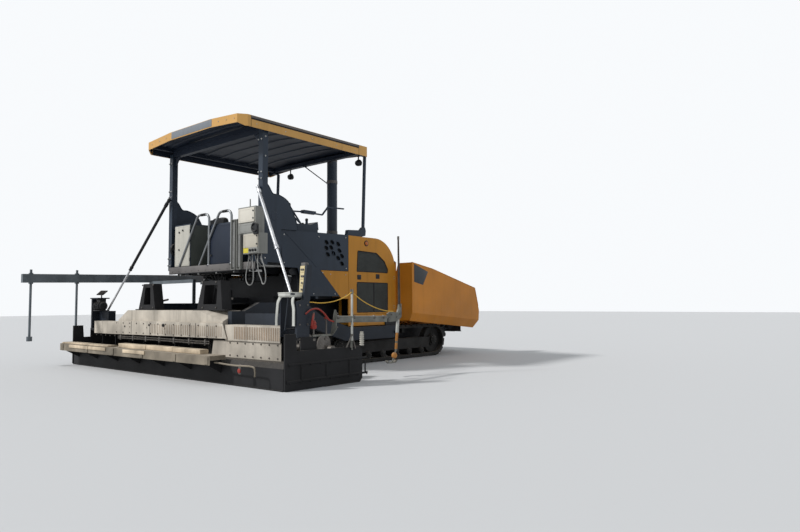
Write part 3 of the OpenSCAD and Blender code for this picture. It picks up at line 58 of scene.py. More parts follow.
# Camera: it stands low behind the machine's right corner, as in the photograph.
# Its lens is that of a wide compact camera, and it looks slightly up.
eye = Vector((8.785, -5.212, 1.061))
yaw, pitch, roll = radians(39.68), radians(3.42), radians(-0.37)
camera = bpy.data.objects.new("camera", bpy.data.cameras.new("camera"))
camera.data.sensor_width = 36
camera.data.lens = 27.82
camera.data.clip_end = 300
turn = Matrix.Rotation(yaw, 4, "Z") @ Matrix.Rotation(pi / 2 + pitch, 4, "X")
turn = turn @ Matrix.Rotation(roll, 4, "Z")
camera.matrix_world = Matrix.Translation(eye) @ turn
shown.link(camera)
bpy.context.scene.camera = camera
bpy.context.scene.view_settings.view_transform = "Standard"

# Stage and light: a plain pale floor, one soft sun from behind the machine's left,
# and an even pale sky, which is white where it is seen directly or in a mirror.
floor_mesh = bpy.data.meshes.new("floor")
floor_mesh.from_pydata([(-60, -60, 0), (60, -60, 0), (60, 60, 0), (-60, 60, 0)], [], [(0, 1, 2, 3)])
floor = bpy.data.objects.new("floor", floor_mesh)
shown.link(floor)
floor_paint = bpy.data.materials.new("floor_paint")
floor_paint.use_nodes = True
floor_shader = floor_paint.node_tree.nodes["Principled BSDF"]
floor_shader.inputs["Base Color"].default_value = (0.60, 0.60, 0.60, 1)
floor_shader.inputs["Roughness"].default_value = 0.9
floor_mesh.materials.append(floor_paint)

sun = bpy.data.objects.new("sun", bpy.data.lights.new("sun", "SUN"))
sun.data.energy = 2.6
sun.data.angle = radians(5)
sun.rotation_euler = (radians(50), 0, radians(-32))
shown.link(sun)

world = bpy.data.worlds.new("sky")
bpy.context.scene.world = world
world.use_nodes = True
sky = world.node_tree
sky_light = sky.nodes["Background"]
sky_light.inputs["Color"].default_value = (0.90, 0.95, 1.0, 1)
sky_light.inputs["Strength"].default_value = 0.55
seen_sky = sky.nodes.new("ShaderNodeBackground")
seen_sky.inputs["Color"].default_value = (0.94, 0.96, 0.98, 1)
seen_sky.inputs["Strength"].default_value = 1.0
ray = sky.nodes.new("ShaderNodeLightPath")
seen, mirrored = (sky.nodes.new("ShaderNodeMath") for _ in range(2))
seen.operation = mirrored.operation = "MAXIMUM"
pick = sky.nodes.new("ShaderNodeMixShader")
sky.links.new(ray.outputs["Is Camera Ray"], seen.inputs[0])
sky.links.new(ray.outputs["Is Glossy Ray"], mirrored.inputs[0])
sky.links.new(ray.outputs["Is Transmission Ray"], mirrored.inputs[1])
sky.links.new(mirrored.outputs[0], seen.inputs[1])
sky.links.new(seen.outputs[0], pick.inputs["Fac"])
sky.links.new(sky_light.outputs[0], pick.inputs[1])
sky.links.new(seen_sky.outputs[0], pick.inputs[2])
sky.links.new(pick.outputs[0], sky.nodes["World Output"].inputs["Surface"])

# Yellow rope at the screed's right end: soft, of three laid strands, fixed to the upright,
# hung over the rod's fork and fixed to the pole's bracket; each span sags by its own weight.
dust_colour = (0.36, 0.31, 0.25)
dulled_sheen = 0.25


def weathered(name, colour, rough, metal=0.0, dust=0.25, low=0.0, patch=2, spread=0.2, grain=55, bump=0.1,
              streak=0.0):
    """A used surface: its colour drifts in soft patches, dirt runs down it in streaks, dust lies on faces
    that look up and splashes the lower parts, and a fine grain lifts it. All of it follows the object."""
    material = bpy.data.materials.new(name)
    material.use_nodes = True
    tree = material.node_tree
    shader = tree.nodes["Principled BSDF"]
    place = tree.nodes.new("ShaderNodeTexCoord")

    def noise(scale, detail, squeeze=None):
        node = tree.nodes.new("ShaderNodeTexNoise")
        node.inputs["Scale"].default_value = scale
        node.inputs["Detail"].default_value = detail
        source = place.outputs["Object"]
        if squeeze:
            mapping = tree.nodes.new("ShaderNodeMapping")
            mapping.inputs["Scale"].default_value = squeeze
            tree.links.new(source, mapping.inputs["Vector"])
            source = mapping.outputs[0]
        tree.links.new(source, node.inputs["Vector"])
        return node.outputs["Fac"]

    def ramp(value, low_in, high_in, low_out, high_out):
        node = tree.nodes.new("ShaderNodeMapRange")
        for k, v in enumerate((low_in, high_in, low_out, high_out)):
            node.inputs[k + 1].default_value = v
        tree.links.new(value, node.inputs[0])
        return node.outputs[0]

    def combine(operation, a, b):
        node = tree.nodes.new("ShaderNodeMath")
        node.operation = operation
        node.use_clamp = True
        tree.links.new(a, node.inputs[0])
        tree.links.new(b, node.inputs[1])
        return node.outputs[0]

    def mixed(factor, a, b):
        node = tree.nodes.new("ShaderNodeMix")
        node.data_type = "RGBA"
        tree.links.new(factor, node.inputs[0])
        for socket, value in ((node.inputs[6], a), (node.inputs[7], b)):
            if isinstance(value, tuple):
                socket.default_value = (*value, 1)
            else:
                tree.links.new(value, socket)
        return node.outputs[2]

    fine = noise(grain, 5)
    dark = tuple(c * (1 - spread) for c in colour)
    light = tuple(min(1.0, c * (1 + spread)) for c in colour)
    base = mixed(ramp(noise(patch, 7), 0.3, 0.7, 0, 1), dark, light)
    if streak:
        runs = ramp(noise(9, 6, (1, 1, 0.09)), 0.52, 0.75, 0, streak)
        base = mixed(runs, base, tuple(c * 0.35 for c in colour))
    normal = tree.nodes.new("ShaderNodeSeparateXYZ")
    height = tree.nodes.new("ShaderNodeSeparateXYZ")
    tree.links.new(place.outputs["Normal"], normal.inputs[0])
    tree.links.new(place.outputs["Object"], height.inputs[0])
    lying = combine("MULTIPLY", ramp(normal.outputs[2], 0.35, 0.95, 0, dust),
                    ramp(noise(patch * 9, 6), 0.3, 0.6, 0.45, 1))
    splash = combine("MULTIPLY", ramp(height.outputs[2], 1.4, 0.1, 0, low),
                     ramp(noise(patch * 5, 8), 0.42, 0.6, 0, 1))
    veil = combine("MAXIMUM", lying, splash)
    tree.links.new(mixed(veil, base, dust_colour), shader.inputs["Base Color"])
    tree.links.new(ramp(veil, 0, 1, rough, 0.92), shader.inputs["Roughness"])
    shader.inputs["Metallic"].default_value = metal
    shader.inputs["Specular IOR Level"].default_value = dulled_sheen
    lift = tree.nodes.new("ShaderNodeBump")
    lift.inputs["Strength"].default_value = bump
    lift.inputs["Distance"].default_value = 0.004
    tree.links.new(fine, lift.inputs["Height"])
    tree.links.new(lift.outputs[0], shader.inputs["Normal"])
    return material


def dress(material, *nodes):
    """Gives CAD nodes a better material in their own slots."""
    for name in nodes:
        for slot in cad[name].material_slots:
            slot.material = material


def piece(name, parts, material, body, sharp=35):
    """One new mesh from several sets of points and faces; it rides on a body of the machine."""
    points, faces, start = [], [], 0
    for p, f in parts:
        points.append(np.asarray(p, float).reshape(-1, 3))
        faces += [[k + start for k in face] for face in f]
        start += len(points[-1])
    mesh = bpy.data.meshes.new(name)
    mesh.from_pydata(np.vstack(points).tolist(), [], faces)
    mesh.materials.append(material)
    mesh.polygons.foreach_set("use_smooth", np.ones(len(mesh.polygons), bool))
    mesh.set_sharp_from_angle(angle=radians(sharp))
    mesh.update()
    made = bpy.data.objects.new(name, mesh)
    shown.link(made)
    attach(made, body)
    return made


def loft(rings):
    """A closed skin over rings of points that run counter-clockwise about their way; both ends are shut."""
    rings = np.asarray(rings, float)
    rows, n = rings.shape[:2]
    r, c = np.meshgrid(np.arange(rows - 1), np.arange(n), indexing="ij")
    a, b = r * n + c, r * n + (c + 1) % n
    faces = np.stack([a, b, b + n, a + n], -1).reshape(-1, 4).tolist()
    return rings.reshape(-1, 3), faces + [list(range(n))[::-1], list(range((rows - 1) * n, rows * n))]


def smooth_line(points, steps):
    """A curve through all the given points, in cubic spans whose slopes follow the neighbouring points."""
    p = np.asarray(points, float)
    q = np.vstack([2 * p[0] - p[1], p, 2 * p[-1] - p[-2]])
    t = np.linspace(0, 1, steps, endpoint=False)[None, :, None]
    a, b, c, d = (q[k:k + len(p) - 1, None, :] for k in range(4))
    line = 0.5 * (2 * b + (c - a) * t + (2 * a - 5 * b + 4 * c - d) * t ** 2
                  + (3 * b - a - 3 * c + d) * t ** 3)
    return np.vstack([line.reshape(-1, 3), p[-1:]])


def unit(rows):
    """The rows of an array, each scaled to length one."""
    return rows / np.linalg.norm(rows, axis=1)[:, None]


def run_along(path):
    """The length run along a path up to each of its points."""
    return np.concatenate([[0], np.cumsum(np.linalg.norm(np.diff(path, axis=0), axis=1))])


def tube(path, radius, sides=10, strands=0, twist=0.0):
    """A round line along a path. Strands lie round it as a helix: its radius swells with the cosine of
    their number times the angle, turned by twist radians for each metre."""
    path = np.asarray(path, float)
    along = unit(np.gradient(path, axis=0))
    slanting = (0.13, 0.31, 0.94) if abs(along[:, 2]).mean() < 0.8 else (0.94, 0.31, 0.13)
    side = unit(np.cross(along, slanting))
    up = np.cross(along, side)
    run = run_along(path)
    angle = np.linspace(0, 2 * pi, sides, endpoint=False)[None, :]
    swell = 1 if not strands else 0.9 + 0.1 * np.cos(strands * (angle - twist * run[:, None]))
    r = ((np.zeros_like(run) + radius)[:, None] * swell)[..., None]
    return loft(path[:, None] + r * (np.cos(angle)[..., None] * side[:, None]
                                     + np.sin(angle)[..., None] * up[:, None]))


def hang(name, route, diameter, material, body, node, strands=0, twist=0.0):
    """A free cord along its route: it stands for its CAD solid, which it hides."""
    line = smooth_line(route, 5)
    cord = piece(name, [tube(line, diameter / 2, 12, strands, twist)], material, body)
    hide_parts(node)


rope_route = [
    (2.878, 0.094, 1.078), (2.878, 0.112, 1.078), (2.890, 0.145, 1.077), (2.905, 0.190, 1.071),
    (2.920, 0.235, 1.068), (2.934, 0.280, 1.068), (2.946, 0.325, 1.071), (2.956, 0.370, 1.076),
    (2.963, 0.415, 1.083), (2.968, 0.460, 1.091)]
rope_x = 2.970
rope_route += [(rope_x, y, z) for y, z in (
    (0.505, 1.101), (0.550, 1.113), (0.595, 1.127), (0.640, 1.143), (0.685, 1.161), (0.725, 1.180),
    (0.755, 1.199), (0.780, 1.206), (0.805, 1.199), (0.840, 1.177), (0.880, 1.152), (0.920, 1.129),
    (0.960, 1.108), (1.000, 1.089), (1.040, 1.071), (1.080, 1.055), (1.120, 1.040), (1.160, 1.026),
    (1.200, 1.013), (1.240, 1.001), (1.280, 0.990), (1.320, 0.980), (1.360, 0.971), (1.400, 0.963),
    (1.440, 0.956), (1.480, 0.950), (1.520, 0.946), (1.560, 0.943), (1.600, 0.9396), (1.638, 0.937))]
rope_fibre = weathered("rope_fibre", (0.72, 0.43, 0.07), 0.8, dust=0.2, low=0.1, patch=9, grain=900,
                       bump=0.5)
hang("rope_laid", rope_route, 0.014, rope_fibre, "screed", "rope", strands=3,
     twist=150)

# Two grey cables that hang in loops from the glands below the switch boxes,
# in smooth plastic sheaths that have taken dust.
cable_y = 0.480
cable_left_route = [(x, cable_y, z) for x, z in (
    (1.110, 1.802), (1.110, 1.760), (1.098, 1.700), (1.080, 1.640), (1.060, 1.580), (1.044, 1.520),
    (1.038, 1.460), (1.050, 1.405), (1.082, 1.362), (1.125, 1.342), (1.168, 1.348), (1.200, 1.380),
    (1.218, 1.430), (1.222, 1.490), (1.218, 1.550), (1.210, 1.610), (1.202, 1.670), (1.198, 1.730),
    (1.198, 1.802))]
cable_right_route = [(x, cable_y, z) for x, z in (
    (1.410, 1.802), (1.410, 1.755), (1.430, 1.700), (1.458, 1.645), (1.484, 1.590), (1.502, 1.535),
    (1.512, 1.475), (1.512, 1.420), (1.500, 1.378), (1.480, 1.355), (1.455, 1.350), (1.432, 1.366),
    (1.416, 1.402), (1.396, 1.440), (1.370, 1.482), (1.346, 1.535), (1.330, 1.595), (1.323, 1.660),
    (1.322, 1.730), (1.322, 1.802))]
cable_sheath = weathered("cable_sheath", (0.30, 0.30, 0.29), 0.55, dust=0.3, patch=14, grain=300)
for name, route in (("cable_left", cable_left_route), ("cable_right", cable_right_route)):
    hang(name + "_loop", route, 0.016, cable_sheath, "tractor", name)

# Roof: a crowned sheet on pressed ribs, with a rolled fascia in ochre. Each side has a dark rubber joint
# under a grey trim and a seam near each corner, and a bare panel is fixed to the rear.
X_AXIS, Y_AXIS, Z_AXIS, REAR = (1, 0, 0), (0, 1, 0), (0, 0, 1), (0, -1, 0)
roof_top, roof_fall, level_half, fall_width = 3.9, 0.055, 0.58, 0.8
roof_side, roof_rear = 1.38, 0.130


def ccw(outline):
    """The outline, turned round where its signed area is negative."""
    o = np.asarray(outline, float)
    return o if np.sum(o[:, 0] * np.roll(o[:, 1], -1) - np.roll(o[:, 0], -1) * o[:, 1]) > 0 else o[::-1]


def plate(outline, depth, edge, at, u, v):
    """An outline in the plane of u and v, raised by depth along their normal; its rim turns over in a
    quarter circle of radius edge."""
    o = ccw(outline)
    step = np.roll(o, -1, 0) - np.roll(o, 1, 0)
    out = unit(np.stack([step[:, 1], -step[:, 0]], 1))
    turn = np.linspace(0, pi / 2, 4)
    inset = np.concatenate([[0], edge * (1 - np.cos(turn))])
    rise = np.concatenate([[0], depth - edge + edge * np.sin(turn)])
    u, v = np.array(u, float), np.array(v, float)
    ring = o[None] - inset[:, None, None] * out[None]
    return loft(np.array(at) + ring[..., :1] * u + ring[..., 1:] * v + rise[:, None, None] * np.cross(u, v))


def on_rear(outline, depth, edge, y):
    """A plate on a rearward face at y, its outline in x and z."""
    return plate(outline, depth, edge, (0, y, 0), X_AXIS, Z_AXIS)


def on_side(outline, depth, edge, x, s):
    """A plate on a side face at x that looks the way of s, its outline in y and z."""
    return plate(outline * (s, 1), depth, edge, (x, 0, 0), (0, s, 0), Z_AXIS)


def on_top(outline, depth, edge, z):
    """A plate on a level face at z, its outline in x and y."""
    return plate(outline, depth, edge, (0, 0, z), X_AXIS, Y_AXIS)


def rounded(w, h, r, x=0.0, y=0.0, n=5):
    """A rectangle w by h about x and y, its corners quarter circles of n points, counter-clockwise."""
    a = np.linspace(0, pi / 2, n)
    quarter = np.stack([np.cos(a), np.sin(a)], 1) * r
    turns = [(1, 1, 0), (-1, 1, 1), (-1, -1, 0), (1, -1, 1)]
    parts = [(quarter[::-1] if flip else quarter) * (sx, sy) + (x + sx * (w / 2 - r), y + sy * (h / 2 - r))
             for sx, sy, flip in turns]
    return np.vstack(parts)


def moulding(path, section, up):
    """A closed section carried along a path: its first number counts to the path's left, its second up."""
    path = np.asarray(path, float)
    along = unit(np.gradient(path, axis=0))
    across = unit(np.cross(np.array(up, float), along))
    rise = np.cross(along, across)
    s = ccw(section)
    return loft(path[:, None] + s[None, :, :1] * across[:, None] + s[None, :, 1:] * rise[:, None])


def lathe(profile, at, axis, sides=28):
    """A profile of radius and height turned about an axis through a point."""
    s = np.asarray(profile, float)
    axis = np.array(axis, float) / np.linalg.norm(axis)
    across = np.cross(axis, (0.31, 0.12, 0.94) if abs(axis[2]) < 0.9 else (0.94, 0.31, 0.12))
    across /= np.linalg.norm(across)
    t = np.linspace(0, 2 * pi, sides, endpoint=False)
    spokes = np.cos(t)[:, None] * across + np.sin(t)[:, None] * np.cross(axis, across)
    return loft(np.array(at, float) + s[:, :1, None] * spokes[None] + s[:, 1:, None] * axis)


def bolts(places, axis, size=0.011):
    """Hexagon heads on washers at many places, all along one axis: one small turned profile, repeated."""
    head, faces = lathe([(1.3, 0), (1.3, 0.2), (1, 0.2), (1, 0.85), (0.8, 1.0)], (0, 0, 0), axis, 6)
    places = np.asarray(places, float).reshape(-1, 1, 3)
    shift = [k * len(head) for k in range(len(places))]
    return places + size * head, [[k + s for k in face] for s in shift for face in faces]


def bar(w, h, r=0.004):
    """Section of a flat bar with rounded edges, standing on its path."""
    return rounded(w, h, r, 0, h / 2, 3)


def crown(x):
    """Height of the roof's top at x: level in the middle, falling evenly to both sides."""
    return roof_top - roof_fall * np.clip((np.abs(x) - level_half) / fall_width, 0, 1)


fascia_paint = weathered("fascia_paint", (0.60, 0.335, 0.10), 0.42, dust=0.3, patch=0.9, spread=0.12,
                         bump=0.05, streak=0.25)
roof_paint = weathered("roof_paint", (0.012, 0.019, 0.034), 0.55, dust=0.03, patch=1.5, spread=0.25)
black_rubber = weathered("black_rubber", (0.012, 0.012, 0.013), 0.7, dust=0.35, low=0.4, patch=6, grain=200,
                         bump=0.3)
trim_grey = weathered("trim_grey", (0.13, 0.12, 0.115), 0.5, dust=0.4, patch=3)
blank_grey = weathered("blank_grey", (0.19, 0.205, 0.225), 0.4, dust=0.1, spread=0.08, streak=0.2)
zinc = weathered("zinc", (0.42, 0.42, 0.41), 0.4, metal=0.8, dust=0.2, low=0.3, patch=9, grain=200)
dress(fascia_paint, "roof_fascia")
dress(roof_paint, "roof")

trim_section = [(0.002, -0.018), (-0.008, -0.014), (-0.010, 0.016), (0.002, 0.021)]
joint_section = [(0.002, -0.011), (-0.003, -0.009), (-0.003, 0.009), (0.002, 0.011)]
trims, joints = [], []
for s in (-1, 1):
    edge = [(s * roof_side, y, 3.822) for y in (0.30, 1.0, 1.8, 2.60)][::s]
    trims.append(moulding(edge, trim_section, Z_AXIS))
    joints.append(moulding([(x, y, 3.795) for x, y, _ in edge], joint_section, Z_AXIS))
    joints += [plate(rounded(0.006, 0.168, 0.002), 0.0015, 0.0005, (s * roof_side, y, 3.759), (0, s, 0),
                     Z_AXIS) for y in (0.30, 2.60)]
piece("roof_trim", trims, trim_grey, "tractor")
piece("roof_joints", joints, black_rubber, "tractor")

bare_panel = [(-0.527, -0.118), (0.580, -0.118), (0.622, -0.121), (0.622, -0.009), (0.580, -0.006),
              (-0.527, -0.006)]
piece("roof_panel_bare", [plate(bare_panel, 0.003, 0.001, (0, roof_rear, roof_top), X_AXIS, Z_AXIS)],
      blank_grey, "tractor")
pressed = [(-0.045, 0.004), (0.045, 0.004), (0.028, -0.016), (-0.028, -0.016)]
ribs = [moulding([(x, y, crown(x) - 0.05) for x in np.linspace(-1.32, 1.32, 23)], pressed, Z_AXIS)
        for y in (0.33, 0.47, 0.86, 1.18, 1.50, 1.82, 2.14, 2.46)]
cleats = [plate([(0, 0), (-s * 0.17, 0), (0, -0.20)], 0.01, 0.002, (s * 1.218, 0.615, 3.66), X_AXIS, Z_AXIS)
          for s in (-1, 1)]
piece("roof_ribs", ribs + cleats, roof_paint, "tractor")
rear_heads = [(x, 0.128, crown(x) - 0.065) for x in (-1.15, -0.9, -0.7, 0.8, 1.0, 1.2)]
roof_bolts = [bolts(rear_heads, REAR, 0.007)]
roof_bolts += [bolts([(s * roof_side, y, 3.73) for y in (0.4, 0.95, 1.5, 2.05, 2.5)], (s, 0, 0), 0.007)
               for s in (1, -1)]
piece("roof_bolts", roof_bolts, zinc, "tractor")

side_line = np.array([(0.262, 3.676), (2.788, 3.676), (2.788, 3.79), (0.262, 3.79)])
linings = [on_side(side_line, 0.003, 0.001, s * -1.368, s) for s in (-1, 1)]
across = np.linspace(-1.25, 1.25, 25)
front_line = np.vstack([np.column_stack([across, crown(across) - 0.128]),
                        np.column_stack([across, crown(across) - 0.055])[::-1]])
linings.append(on_rear(front_line, 0.003, 0.001, 2.9075))
corner_line = np.array([(-0.074, 3.728), (0.074, 3.682), (0.074, 3.79), (-0.074, 3.79)])
diagonal = 0.7071
linings += [plate(corner_line * (sx * sy, 1), 0.003, 0.001, (sx * 1.313, 1.525 + sy * 1.328, 0),
                  (sy * diagonal, -sx * diagonal, 0), Z_AXIS) for sx in (-1, 1) for sy in (-1, 1)]
piece("fascia_linings", linings, roof_paint, "tractor")

# Work lamps: turned black housings with a cooling fin, a bright rim and a domed glass,
# each on a bent strap under the roof's front beam.
black_plastic = weathered("black_plastic", (0.015, 0.016, 0.018), 0.45, dust=0.3, patch=8, grain=200)
bright_rod = weathered("bright_rod", (0.55, 0.56, 0.58), 0.25, metal=0.9, dust=0.12, low=0.1, patch=5,
                       grain=200, bump=0.04)
lamp_glass = weathered("lamp_glass", (0.62, 0.64, 0.62), 0.12, dust=0.05, patch=20)
bowl = [(0.012, 0.0), (0.030, 0.001), (0.046, 0.010), (0.050, 0.018), (0.046, 0.022), (0.052, 0.030),
        (0.058, 0.050), (0.060, 0.084), (0.056, 0.086)]
glass = [(0.050, 0.080), (0.052, 0.084), (0.044, 0.088), (0.030, 0.0895), (0.010, 0.090)]
aim = np.array((0, sin(radians(70)), cos(radians(70))))
housings, rims, glasses = [], [], []
for x in (-0.77, 1.11):
    at = np.array((x, 2.82, 3.59))
    strap = smooth_line([(x, 2.868, 3.745), (x, 2.869, 3.70), (x, 2.862, 3.655), (x, 2.845, 3.63)], 5)
    housings.append(lathe(bowl, at, aim))
    housings.append(moulding(strap, bar(0.03, 0.006, 0.002), Y_AXIS))
    rims.append(lathe([(0.050, 0.082), (0.060, 0.084), (0.060, 0.090), (0.051, 0.090)], at, aim))
    glasses.append(lathe(glass, at, aim))
lamp_body = piece("lamp_housings", housings, black_plastic, "tractor")
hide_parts("work_lamps")
piece("lamp_rims", rims, bright_rod, "tractor")
piece("lamp_glasses", glasses, lamp_glass, "tractor")

# Roof posts and exhaust stack: sheet steel in dark blue enamel, the gussets stiffened by a rolled rim
# and an eye, the posts bolted through. The stack has two clamp collars, a lug and a rolled mouth.
blue_paint = weathered("blue_paint", (0.025, 0.037, 0.056), 0.42, dust=0.15, low=0.2, patch=1.1, bump=0.05,
                       streak=0.35)
dress(blue_paint, "roof_posts", "exhaust_stack")
gusset = np.array([(0.66, 2.89), (0.705, 2.843), (0.775, 2.75), (0.88, 2.745), (1.03, 2.69), (1.12, 2.60),
                   (1.24, 2.36), (1.28, 2.222)])
post_x = 1.27
stack_x, stack_y = 0.20, 3.09
eye_ring = [(0.050, -0.034), (0.066, -0.034), (0.070, -0.030), (0.070, 0.030), (0.066, 0.034),
            (0.050, 0.034)]
rims, heads = [], []
for s in (-1, 1):
    line = smooth_line(np.column_stack([np.full(8, s * post_x), gusset]), 4)
    rims.append(moulding(line, rounded(0.072, 0.008, 0.003, n=3), (0, 0.5, 1)))
    rims.append(lathe(eye_ring, (s * post_x, 0.81, 2.40), X_AXIS, 32))
    heads.append(bolts([(s * (post_x + dx), 0.548, z) for dx in (-0.035, 0.035)
                        for z in (1.74, 1.86, 2.95, 3.05, 3.55)], REAR))
    heads.append(bolts([(s * 1.32, 0.61, z) for z in (1.75, 1.85, 3.3, 3.6)], (s, 0, 0)))
piece("post_rims", rims, blue_paint, "tractor")
piece("post_bolts", heads, zinc, "tractor")
collar = [(0.099, -0.03), (0.104, -0.028), (0.104, 0.028), (0.099, 0.03)]
mouth = [(0.092, 3.815), (0.099, 3.80), (0.101, 3.81), (0.101, 3.828), (0.096, 3.832), (0.090, 3.828)]
clamps = [lathe(collar, (stack_x, stack_y, z), Z_AXIS, 40) for z in (2.42, 3.40)]
clamps.append(lathe(mouth, (stack_x, stack_y, 0), Z_AXIS, 40))
clamps.append(plate(rounded(0.05, 0.04, 0.006), 0.03, 0.003, (0.10, stack_y, 3.40), REAR, Z_AXIS))
piece("stack_clamps", clamps, trim_grey, "tractor")

# Braces: bright tubes on the right, a dark one on the left, with a clamp collar where
# the rod leaves the tube and a turned cuff at the post.
low_right, high_right = np.array((2.70, -0.06, 1.212)), np.array((1.26, 0.52, 2.82))
low_left, high_left = np.array((-2.60, 0.12, 0.972)), np.array((-1.26, 0.52, 2.90))
frame_dark = weathered("frame_dark", (0.018, 0.019, 0.022), 0.5, spread=0.3, streak=0.3)
dress(bright_rod, "brace_tube_right", "brace_rod_right", "brace_rod_left", "lift_rods", "wing_rod_left",
      "wing_rod_right")
dress(frame_dark, "brace_tube_left")
ring = [(0.020, -0.05), (0.030, -0.048), (0.032, -0.02), (0.027, -0.017), (0.027, 0.012), (0.032, 0.016),
        (0.030, 0.028), (0.020, 0.03)]
cuff = [(0.026, 0.06), (0.031, 0.065), (0.031, 0.13), (0.026, 0.14)]
for name, high, low, skin, slot in (("right", high_right, low_right, bright_rod, "bright_rod"),
                                    ("left", high_left, low_left, frame_dark, "frame_dark")):
    run = low - high
    way = run / np.linalg.norm(run)
    collars = [lathe(ring, high + 0.62 * run, way, 24), lathe(cuff, high, way, 24)]
    piece("brace_collar_" + name, collars, skin, "brace_tube_" + name)

# Housing: the dark side panels with pressed vent rims over black mesh, their bolts, and the hood
# with a rubber seal; all in the same dark blue enamel as the posts.
dress(blue_paint, "hood", "side_panels")
vents = [(1.930, 2.080), (2.060, 2.090), (1.925, 1.985), (2.035, 2.000), (2.200, 2.070), (1.960, 1.880),
         (2.090, 1.905), (2.230, 1.960), (2.200, 1.830), (2.290, 1.870), (2.290, 1.740)]
# Black for the mesh behind the vents; the walkways' hand holes use it too, as painted shade.
black_mesh_and_hole_shade = weathered("black_mesh_and_hole_shade", (0.006, 0.006, 0.007), 0.8, dust=0.1, patch=30, grain=400, bump=0.8)
panel_heads = [(1.02, 1.70), (1.02, 2.14), (1.75, 2.16), (2.38, 2.19), (2.39, 1.66), (1.84, 1.57),
               (1.64, 1.22), (2.12, 1.22), (1.50, 1.42), (1.36, 1.62)]
side_x = 1.27
around = np.linspace(0, 2 * pi, 25)
a, b, lean = 0.053 * np.cos(around), 0.036 * np.sin(around), radians(-30)
rims, backs, heads = [], [], []
for s in (-1, 1):
    rims += [tube(np.column_stack([np.full(25, s * 1.2705), y + a * cos(lean) - b * sin(lean),
                                   z + a * sin(lean) + b * cos(lean)]), 0.0045, 6) for y, z in vents]
    backs.append(on_side(rounded(0.56, 0.52, 0.05, 2.11, 1.92), 0.006, 0.002, s * 1.232, 1))
    heads.append(bolts([(s * side_x, y, z) for y, z in panel_heads], (s, 0, 0), 0.009))
piece("vent_rims", rims, blue_paint, "tractor")
piece("vent_mesh", backs, black_mesh_and_hole_shade, "tractor")
piece("panel_bolts", heads, zinc, "tractor")
seal_section = [(-0.012, 0), (0.012, 0), (0.010, 0.012), (0, 0.016), (-0.010, 0.012)]
seal = moulding([(x, 2.105, 2.243) for x in np.linspace(-1.22, 1.22, 9)], seal_section, Z_AXIS)
piece("hood_seal", [seal], black_rubber, "tractor")

# Engine doors and the yellow panels: ochre enamel. Each window and grille has a rubber bead round a wire
# mesh over a dark screen; two latches, a round marker lamp and hinge bolts are fitted.
yellow_paint = weathered("yellow_paint", (0.54, 0.232, 0.024), 0.42, dust=0.2, low=0.2, patch=0.9,
                         spread=0.13, bump=0.05, streak=0.25)
dress(yellow_paint, "body_panels", "engine_door_left", "engine_door_right")
wire_dark = weathered("wire_dark", (0.055, 0.060, 0.060), 0.55, metal=0.5, dust=0.3, low=0.3, patch=6)
screen_grey = weathered("screen_grey", (0.034, 0.038, 0.034), 0.6, patch=3, spread=0.3, grain=500, bump=0.9)
amber = weathered("amber", (0.45, 0.12, 0.02), 0.15, dust=0.1, patch=20)
window = np.array([(2.66, 1.62), (3.48, 1.62), (3.48, 1.69), (3.39, 1.83), (3.17, 1.97), (2.68, 1.985)])
grille = rounded(0.82, 0.53, 0.012, 3.07, 1.165)


def bead(outline, x, radius):
    """A round bead along a closed outline in a plane of constant x, cut into short steps."""
    o = np.vstack([outline, outline[:1]])
    run = run_along(o)
    t = np.linspace(0, run[-1], 140)
    line = np.column_stack([np.full(140, x), np.interp(t, run, o[:, 0]), np.interp(t, run, o[:, 1])])
    return tube(line, radius, 6)


def wires(x, y0, y1, z0, top, pitch):
    """A woven mesh of thin straight wires: the upright ones end at a top line, which is a row of y and a row
    of z, and each level one runs as far as that line lies above it."""
    made = []
    for y in np.arange(y0, y1, pitch):
        z = np.linspace(z0, float(np.interp(y, *top)), 2)
        made.append(tube(np.column_stack([np.full(2, x), np.full(2, y), z]), 0.0022, 4))
    for z in np.arange(z0 + pitch, max(top[1]), pitch):
        inside = np.linspace(y0, y1, 60)
        inside = inside[np.interp(inside, *top) > z]
        if len(inside) > 1:
            made.append(tube([(x, inside[0], z), (x, inside[-1], z)], 0.0022, 4))
    return made


